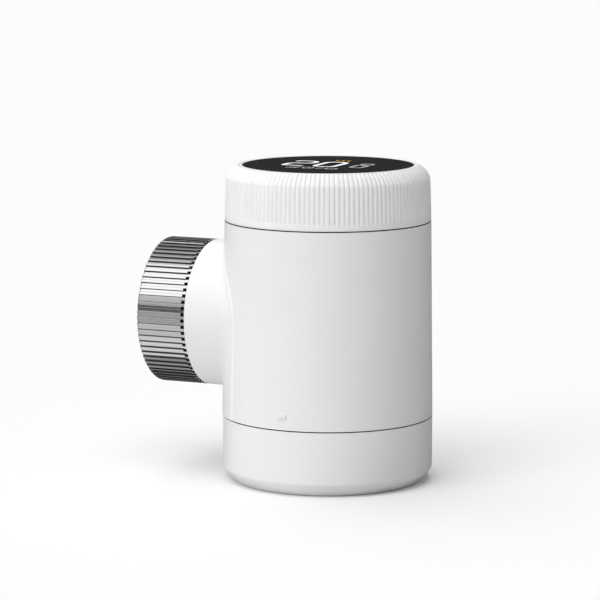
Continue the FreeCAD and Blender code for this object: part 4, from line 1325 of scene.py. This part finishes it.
@dataclass
class CouplingNut:
    """Ribbed nut with its lip, relief and valve thread."""

    start_d: float = 31.6
    length: float = 13.0
    tip: float = 18.6
    floor: float = 18.16
    notch_floor: float = 17.1
    notch_length: float = 0.67
    cog_tip: float = 18.2
    cog_inset: float = 0.02
    cog_root: float = 0.3
    flank_lean_deg: float = 50.0
    flank_across: float = 0.7
    bevel_length: float = 0.33
    bevel_depth: float = 0.2
    crease_deg: float = 40.0
    rib_count: int = 72
    rib_profile: tuple[tuple[float, float], ...] = (
        (0.185, 1.0), (0.19, 1.0), (0.22, 0.94), (0.245, 0.8), (0.258, 0.64), (0.272, 0.0))
    lip_bore: float = 12.6
    lip: float = 2.6
    relief: float = 14.5
    relief_end_d: float = 36.0
    relief_step: float = 0.05
    thread_minor: float = 14.2
    thread_major: float = 15.0
    thread_rows: int = 48
    thread_gap: float = 0.1
    thread_fade: float = 0.8
    thread_crest: float = 1.25
    thread_slope: float = 2.9
    pitch: float = 1.5
    mouth: float = 0.7
    face_depth: float = 1.2

    @property
    def end_d(self) -> float:
        """Distance of the nut's mouth."""
        return self.start_d + self.length

    def round_angles(self, spots: np.ndarray) -> np.ndarray:
        """Angles of the same places on every rib, given in rib pitches from its middle."""
        return ((np.arange(self.rib_count)[:, None] + spots) * FULL_TURN / self.rib_count).ravel()

    def rib_angles(self) -> tuple[np.ndarray, np.ndarray]:
        """Angles of all columns, and how far each stands up as a rib: 1 on a rib and 0 on a floor.

        Each rib has a flat crown, rounded shoulders and steep flanks.

        Returns:
            The angles, and the rib's share at each.
        """
        half = np.array(self.rib_profile)
        spots = np.concatenate([[-0.5], -half[::-1, 0], half[:, 0]])
        height = np.concatenate([[0.0], half[::-1, 1], half[:, 1]])
        return self.round_angles(spots), np.tile(height, self.rib_count)

    def outside(self, share: np.ndarray) -> tuple[np.ndarray, np.ndarray]:
        """Outer rows from the neck's end to the mouth's edge.

        The radius is floor + (tip - floor) * share. The ribs stop short of the neck's end in deep
        notches, and at the mouth's end they fall away in a bevel. Each line of the table is the
        distance, the radius on a rib and the radius on a floor.

        Args:
            share: The rib's share at each column.

        Returns:
            Radius and distance, each (rows, columns).
        """
        notch = self.start_d + self.notch_length
        table = np.array([
            (self.start_d, self.notch_floor, self.floor - 0.05),
            (self.start_d + 0.05, self.notch_floor, self.floor),
            (notch - 0.02, self.notch_floor, self.floor),
            (notch + 0.02, self.tip, self.floor),
            (notch + 0.06, self.tip, self.floor),
            (notch + 4.0, self.tip, self.floor),
            (self.end_d - 4.0, self.tip, self.floor),
            (self.end_d - 0.32, self.tip, self.floor),
            (self.end_d - 0.3, self.tip - 0.02, self.floor),
            (self.end_d - 0.1, self.tip - 0.22, self.floor - 0.05),
            (self.end_d, self.tip - 0.5, self.floor - 0.3),
        ])
        radius = table[:, 2:] + (table[:, 1:2] - table[:, 2:]) * share[None]
        return radius, np.broadcast_to(table[:, :1], radius.shape)

    def cog_patch(self) -> Patch:
        """Black ring behind the nut's end, with a cog in each notch: painted shade, so that the notches read
        as deep dark gaps.

        Its outer radius is that of the cogs within a rib's width, and lies under the floors between.

        Returns:
            The closed patch.
        """
        spots = np.array([-0.5, -0.262, -0.256, 0.0, 0.256, 0.262])
        tall = np.tile([0.0, 0.0, 1.0, 1.0, 1.0, 0.0], self.rib_count)
        root = self.notch_floor - self.cog_root
        outer = root + (self.cog_tip - root) * tall
        inner = np.full_like(outer, root - self.cog_root)
        near, far = self.start_d + self.cog_inset, self.start_d + self.notch_length - self.cog_inset
        radius, along = np.stack([inner, outer, outer, inner]), np.array([near, near, far, far])[:, None]
        return Patch(place(Axis.VALVE, radius, along, self.round_angles(spots)), closed_rows=True)

    def inside(self, angle: np.ndarray) -> tuple[np.ndarray, np.ndarray]:
        """Inner rows from the mouth's edge through the thread to the lip and back to the neck's end.

        The thread's radius is minor + (major - minor) * wave, where the wave rises and falls with
        the distance over the pitch less the turn, and it fades out towards the relief.

        Args:
            angle: Angle of each column.

        Returns:
            Radius and distance, each (rows, columns).
        """
        face = [(self.floor - self.face_depth, self.end_d), (self.thread_minor + self.mouth, self.end_d)]
        thread_d = np.linspace(self.end_d - self.mouth, self.relief_end_d + self.thread_gap,
                               self.thread_rows)[:, None]
        phase = (thread_d / self.pitch - angle / FULL_TURN) % 1.0
        wave = np.clip(self.thread_crest - self.thread_slope * np.abs(phase - 0.5), 0.0, 1.0)
        fade = ease(self.relief_end_d, self.relief_end_d + self.thread_fade, thread_d)
        thread = self.thread_minor + (self.thread_major - self.thread_minor) * wave * fade
        lip_d = self.start_d + self.lip
        back = [(self.relief, self.relief_end_d - self.relief_step), (self.relief, lip_d),
                (self.lip_bore, lip_d), (self.lip_bore, self.start_d),
                (self.notch_floor - self.face_depth, self.start_d)]
        face_r, face_d = turned_rows(face, len(angle))
        back_r, back_d = turned_rows(back, len(angle))
        radius = np.concatenate([face_r, thread, back_r])
        return radius, np.concatenate([face_d, np.broadcast_to(thread_d, thread.shape), back_d])

    def shaded_flank_faces(self, mesh: bpy.types.Mesh) -> np.ndarray:
        """Which faces are the steep flanks and mouth bevels of the ribs, by each face's lean and place; they
        take the dark painted-shade finish.

        Args:
            mesh: The nut's mesh.

        Returns:
            True for each face that leans more than flank_lean_deg from its radius in the cross-section
            and faces mostly across it, and for each of the outer faces at the mouth.
        """
        centre, normal = face_values(mesh, "center") / MM, face_values(mesh, "normal")
        arm = centre[:, 1:] - np.array([0.0, VALVE_HEIGHT])
        radius = np.linalg.norm(arm, axis=1)
        lean = (arm * normal[:, 1:]).sum(1) / np.maximum(radius, 1e-9)
        across = np.linalg.norm(normal[:, 1:], axis=1)
        steep = lean < math.cos(math.radians(self.flank_lean_deg)) * across
        flank = (radius > self.floor) & steep & (across > self.flank_across)
        at_mouth = centre[:, 0] < self.bevel_length - self.end_d
        return flank | (at_mouth & (radius > self.floor - self.bevel_depth))

    def build(self) -> list[bpy.types.Object]:
        """Makes the nut and the black cogged ring of painted shade in its notches.

        Returns:
            The two pieces.
        """
        angle, share = self.rib_angles()
        outer_r, outer_d = self.outside(share)
        inner_r, inner_d = self.inside(angle)
        radius, along = np.concatenate([outer_r, inner_r]), np.concatenate([outer_d, inner_d])
        patch = Patch(place(Axis.VALVE, radius, along, angle), closed_rows=True)
        nut = shell_object("ribbed_nut", [patch], NUT_NICKEL, self.crease_deg)
        # The ribs' flanks and mouth bevels get a dark finish: painted shade and painted dark reflection.
        paint_faces(nut, FLANK_PAINTED_SHADE, self.shaded_flank_faces(nut.data))
        # Black cogs in the notches: painted shade for their dark depth.
        notch_shade = shell_object("nut_notch_shade", [self.cog_patch()], SHADE_BLACK)
        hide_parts("coupling_nut")
        for piece in (nut, notch_shade):
            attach(piece, "nut")
        return [nut, notch_shade]


# Inner works


@dataclass
class InnerWorks:
    """Finishes of the pieces inside, which keep their construction meshes."""

    finishes: dict[str, Finish] = field(default_factory=lambda: {
        "bridge_contact": SPRING_STEEL, "battery_contacts": SPRING_STEEL, "battery_left": CELL_WRAP,
        "battery_right": CELL_WRAP, "chassis": DARK_MOULDING, "encoder_ring": DARK_MOULDING,
        "window_carrier": DARK_MOULDING, "switch_button": SWITCH_BLACK, "tact_switch": SWITCH_BLACK,
        "return_springs": SPRING_STEEL, "top_deck": DARK_MOULDING, "detent_spring": SPRING_STEEL,
        "main_board": BOARD_GREEN, "radio_module": TURNED_STEEL, "pin_header": SWITCH_BLACK,
        "display_board": BOARD_GREEN, "display_module": PANEL_GREY, "valve_adapter": ADAPTER_CAST,
        "nut_retaining_ring": SPRING_STEEL, "spindle_gear": NATURAL_ACETAL, "thrust_washer": TURNED_STEEL,
        "idler_gear": NATURAL_ACETAL, "idler_axle": TURNED_STEEL, "motor_pinion": TURNED_BRASS,
        "motor_can": TURNED_STEEL, "plunger": NATURAL_ACETAL, "gearbox_frame": DARK_MOULDING,
        "gearbox_cover": DARK_MOULDING, "deck_screws": TURNED_STEEL, "gearbox_screws": TURNED_STEEL,
    })

    def dress(self, nodes: dict[str, bpy.types.Object]) -> list[bpy.types.Object]:
        """Gives each inner node its finish.

        Args:
            nodes: The frame's nodes by name.

        Returns:
            The dressed nodes.
        """
        dressed = []
        for name, finish in self.finishes.items():
            mesh = nodes[name].data
            mesh.materials.clear()
            mesh.materials.append(finish.material())
            dressed.append(nodes[name])
        return dressed


# Studio


@dataclass(frozen=True)
class Lamp:
    """Distant soft lamp.

    Args:
        name: Its name.
        azimuth_deg: Angle from the camera's side of the object, negative to the camera's left.
        elevation_deg: Angle above the floor.
        strength: Light on a surface that faces it.
        spread_deg: Angle that it fills, for soft shadows.
    """

    name: str
    azimuth_deg: float
    elevation_deg: float
    strength: float
    spread_deg: float = 50.0


@dataclass(frozen=True)
class Card:
    """Card that only reflections show.

    Args:
        name: Its name.
        start: Where it starts.
        end: Where it ends.
        level: How bright it is.
    """

    name: str
    start: float
    end: float
    level: float

    def outline(self) -> np.ndarray:
        """Its section (n, 2) as y and z, m."""
        raise NotImplementedError


@dataclass(frozen=True)
class ArcCard(Card):
    """Card bent about the neck's axis, between two angles from the front horizon up and over.

    Args:
        reach: Its distance from the neck's axis, m.
    """

    reach: float = 0.5

    def outline(self) -> np.ndarray:
        """Its section, (-reach cos a, neck height + reach sin a)."""
        angle = np.radians(np.linspace(self.start, self.end, 17))
        return np.stack([-self.reach * np.cos(angle), VALVE_HEIGHT * MM + self.reach * np.sin(angle)], -1)


@dataclass(frozen=True)
class FloorCard(Card):
    """Level strip close over the floor, between two depths y in millimetres.

    Args:
        height: Its height over the floor, mm.
    """

    height: float = 0.6

    def outline(self) -> np.ndarray:
        """Its section, a level line."""
        return np.array([[self.start, self.height], [self.end, self.height]]) * MM


@dataclass
class Studio:
    """White floor, soft lamps, reflected cards and the camera."""

    camera_spot: Vector = (0.29385, -0.68362, 0.15710)
    camera_tilt_deg: float = 81.458
    camera_turn_deg: float = 23.8
    lens: float = 179.27
    sensor_width: float = 36.0
    sight: float = 50.0
    floor_half: float = 4.0
    floor_z: float = -0.0001
    floor_colour: float = 0.8
    floor_glow: float = 0.125
    world_light: float = 0.0
    lamps: tuple[Lamp, ...] = (
        Lamp("lamp_front", -16.0, 62.0, 1.52),
        Lamp("lamp_low", -52.0, 8.0, 1.09),
        Lamp("lamp_left", -80.0, 50.0, 0.76, 80.0),
        Lamp("lamp_back", -160.0, 62.0, 0.912),
        Lamp("lamp_above", 0.0, 90.0, 0.41, 80.0),
    )
    cards: tuple[Card, ...] = (
        ArcCard("card_front_low", -6.0, 3.0, 0.36),
        ArcCard("card_front_dark", 3.0, 14.0, 0.1),
        ArcCard("card_front_high", 14.0, 27.0, 0.5),
        ArcCard("card_front_bright", 27.0, 80.0, 1.1),
        ArcCard("card_over_front", 80.0, 90.0, 0.7),
        ArcCard("card_over_back", 90.0, 118.0, 0.36),
        ArcCard("card_back_high", 118.0, 134.0, 0.15),
        ArcCard("card_back_low", 140.0, 184.0, 0.03),
        FloorCard("floor_card_far", -900.0, -140.0, 0.36),
        FloorCard("floor_card_front", -140.0, -60.0, 0.56),
        FloorCard("floor_card_near", -60.0, -24.0, 0.7),
        FloorCard("floor_card_under", -24.0, -3.0, 0.26),
        FloorCard("floor_card_back", -3.0, 900.0, 0.03),
    )
    card_span: tuple[float, float] = (-3.5, 0.6)

    def shown(self, tree: Tree) -> Socket:
        """Tells rays that come to be seen: from the camera, a reflection or through glass.

        Args:
            tree: The nodes of a material or the world.

        Returns:
            1 for such a ray and 0 for any other.
        """
        path = tree.nodes.new("ShaderNodeLightPath")
        total = path.outputs["Is Camera Ray"]
        for ray in ("Is Glossy Ray", "Is Transmission Ray"):
            larger = tree.nodes.new("ShaderNodeMath")
            larger.operation = "MAXIMUM"
            tree.links.new(total, larger.inputs[0])
            tree.links.new(path.outputs[ray], larger.inputs[1])
            total = larger.outputs["Value"]
        return total

    def ranged(self, tree: Tree, share: Socket, low: float, high: float) -> Socket:
        """Carries a share onto a range.

        Args:
            tree: The nodes of a material or the world.
            share: From 0 to 1.
            low: Value at 0.
            high: Value at 1.

        Returns:
            The value.
        """
        ranged = tree.nodes.new("ShaderNodeMapRange")
        ranged.inputs["To Min"].default_value = low
        ranged.inputs["To Max"].default_value = high
        tree.links.new(share, ranged.inputs["Value"])
        return ranged.outputs["Result"]

    def world(self) -> None:
        """White surroundings, which show but give the object no light of their own."""
        world = bpy.data.worlds.new("white_surroundings")
        world.use_nodes = True
        tree = world.node_tree
        background = tree.nodes["Background"]
        background.inputs["Color"].default_value = (1.0, 1.0, 1.0, 1.0)
        level = self.ranged(tree, self.shown(tree), self.world_light, 1.0)
        tree.links.new(level, background.inputs["Strength"])
        bpy.context.scene.world = world

    def bare_material(self, name: str) -> bpy.types.Material:
        """Makes a material that has only its output node.

        Args:
            name: Its name.

        Returns:
            The material.
        """
        material = bpy.data.materials.new(name)
        material.use_nodes = True
        nodes = material.node_tree.nodes
        nodes.remove(nodes["Principled BSDF"])
        return material

    def floor(self) -> None:
        """Makes the pale floor, which keeps the object's shadow and glows a little where it is seen."""
        half, z = self.floor_half, self.floor_z
        mesh = bpy.data.meshes.new("studio_floor")
        mesh.from_pydata([(-half, -half, z), (half, -half, z), (half, half, z), (-half, half, z)], [],
                         [(0, 1, 2, 3)])
        material = self.bare_material("studio_floor_white")
        tree = material.node_tree
        matt = tree.nodes.new("ShaderNodeBsdfDiffuse")
        matt.inputs["Color"].default_value = (self.floor_colour,) * 3 + (1.0,)
        glow = tree.nodes.new("ShaderNodeEmission")
        tree.links.new(self.ranged(tree, self.shown(tree), 0.0, self.floor_glow), glow.inputs["Strength"])
        both = tree.nodes.new("ShaderNodeAddShader")
        tree.links.new(matt.outputs["BSDF"], both.inputs[0])
        tree.links.new(glow.outputs["Emission"], both.inputs[1])
        tree.links.new(both.outputs["Shader"], tree.nodes["Material Output"].inputs["Surface"])
        mesh.materials.append(material)
        floor = add_object("studio_floor", mesh)
        floor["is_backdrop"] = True

    def lamp(self, plan: Lamp) -> None:
        """Makes one lamp, turned from straight down by its elevation and azimuth.

        Args:
            plan: What it is like.
        """
        light = bpy.data.lights.new(plan.name, "SUN")
        light.energy = plan.strength
        light.angle = math.radians(plan.spread_deg)
        made = add_object(plan.name, light)
        made.rotation_euler = (math.radians(90.0 - plan.elevation_deg), 0.0,
                               math.radians(self.camera_turn_deg + plan.azimuth_deg))
        made.visible_glossy = False

    def card(self, plan: Card) -> None:
        """Makes a card that only glossy rays meet: its outline carried along the neck's direction.

        Args:
            plan: What it is like.
        """
        outline = plan.outline()
        count = len(outline)
        mesh = bpy.data.meshes.new(plan.name)
        mesh.from_pydata(np.concatenate([np.insert(outline, 0, x, axis=1) for x in self.card_span]).tolist(),
                         [], [(i, i + 1, count + i + 1, count + i) for i in range(count - 1)])
        material = self.bare_material(plan.name)
        tree = material.node_tree
        glow = tree.nodes.new("ShaderNodeEmission")
        glow.inputs["Strength"].default_value = plan.level
        tree.links.new(glow.outputs["Emission"], tree.nodes["Material Output"].inputs["Surface"])
        mesh.materials.append(material)
        made = add_object(plan.name, mesh)
        made.visible_camera = made.visible_diffuse = made.visible_transmission = False
        made.visible_shadow = made.visible_volume_scatter = False
        made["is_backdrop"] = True

    def camera(self) -> None:
        """Makes the camera at the photograph's viewing angle."""
        data = bpy.data.cameras.new("studio_camera")
        data.lens = self.lens
        data.sensor_width = self.sensor_width
        data.clip_end = self.sight
        made = add_object("studio_camera", data)
        made.location = self.camera_spot
        made.rotation_euler = (math.radians(self.camera_tilt_deg), 0.0, math.radians(self.camera_turn_deg))
        bpy.context.scene.camera = made

    def build(self) -> None:
        """Sets up the whole studio."""
        bpy.context.scene.view_settings.view_transform = "Standard"
        self.world()
        self.floor()
        for lamp in self.lamps:
            self.lamp(lamp)
        for card in self.cards:
            self.card(card)
        self.camera()


def corners() -> list[list[float]]:
    """Lowest and highest corner of the whole object, as plain numbers."""
    low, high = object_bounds()
    return [[float(v) for v in low], [float(v) for v in high]]


def main() -> None:
    """Builds the studio and every sub-assembly, and gives the inner pieces their finishes."""
    logging.basicConfig(level=logging.INFO, format="%(name)s: %(message)s")
    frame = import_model()
    Studio().build()
    for assembly in (Drum(), Foot(), Dial(), Display(), CouplingNut()):
        for piece in assembly.build():
            log.info("%s: %d faces", piece.name, len(piece.data.polygons))
    for node in InnerWorks().dress(frame["nodes"]):
        log.info("%s: dressed", node.name)


if __name__ == "__main__":
    main()
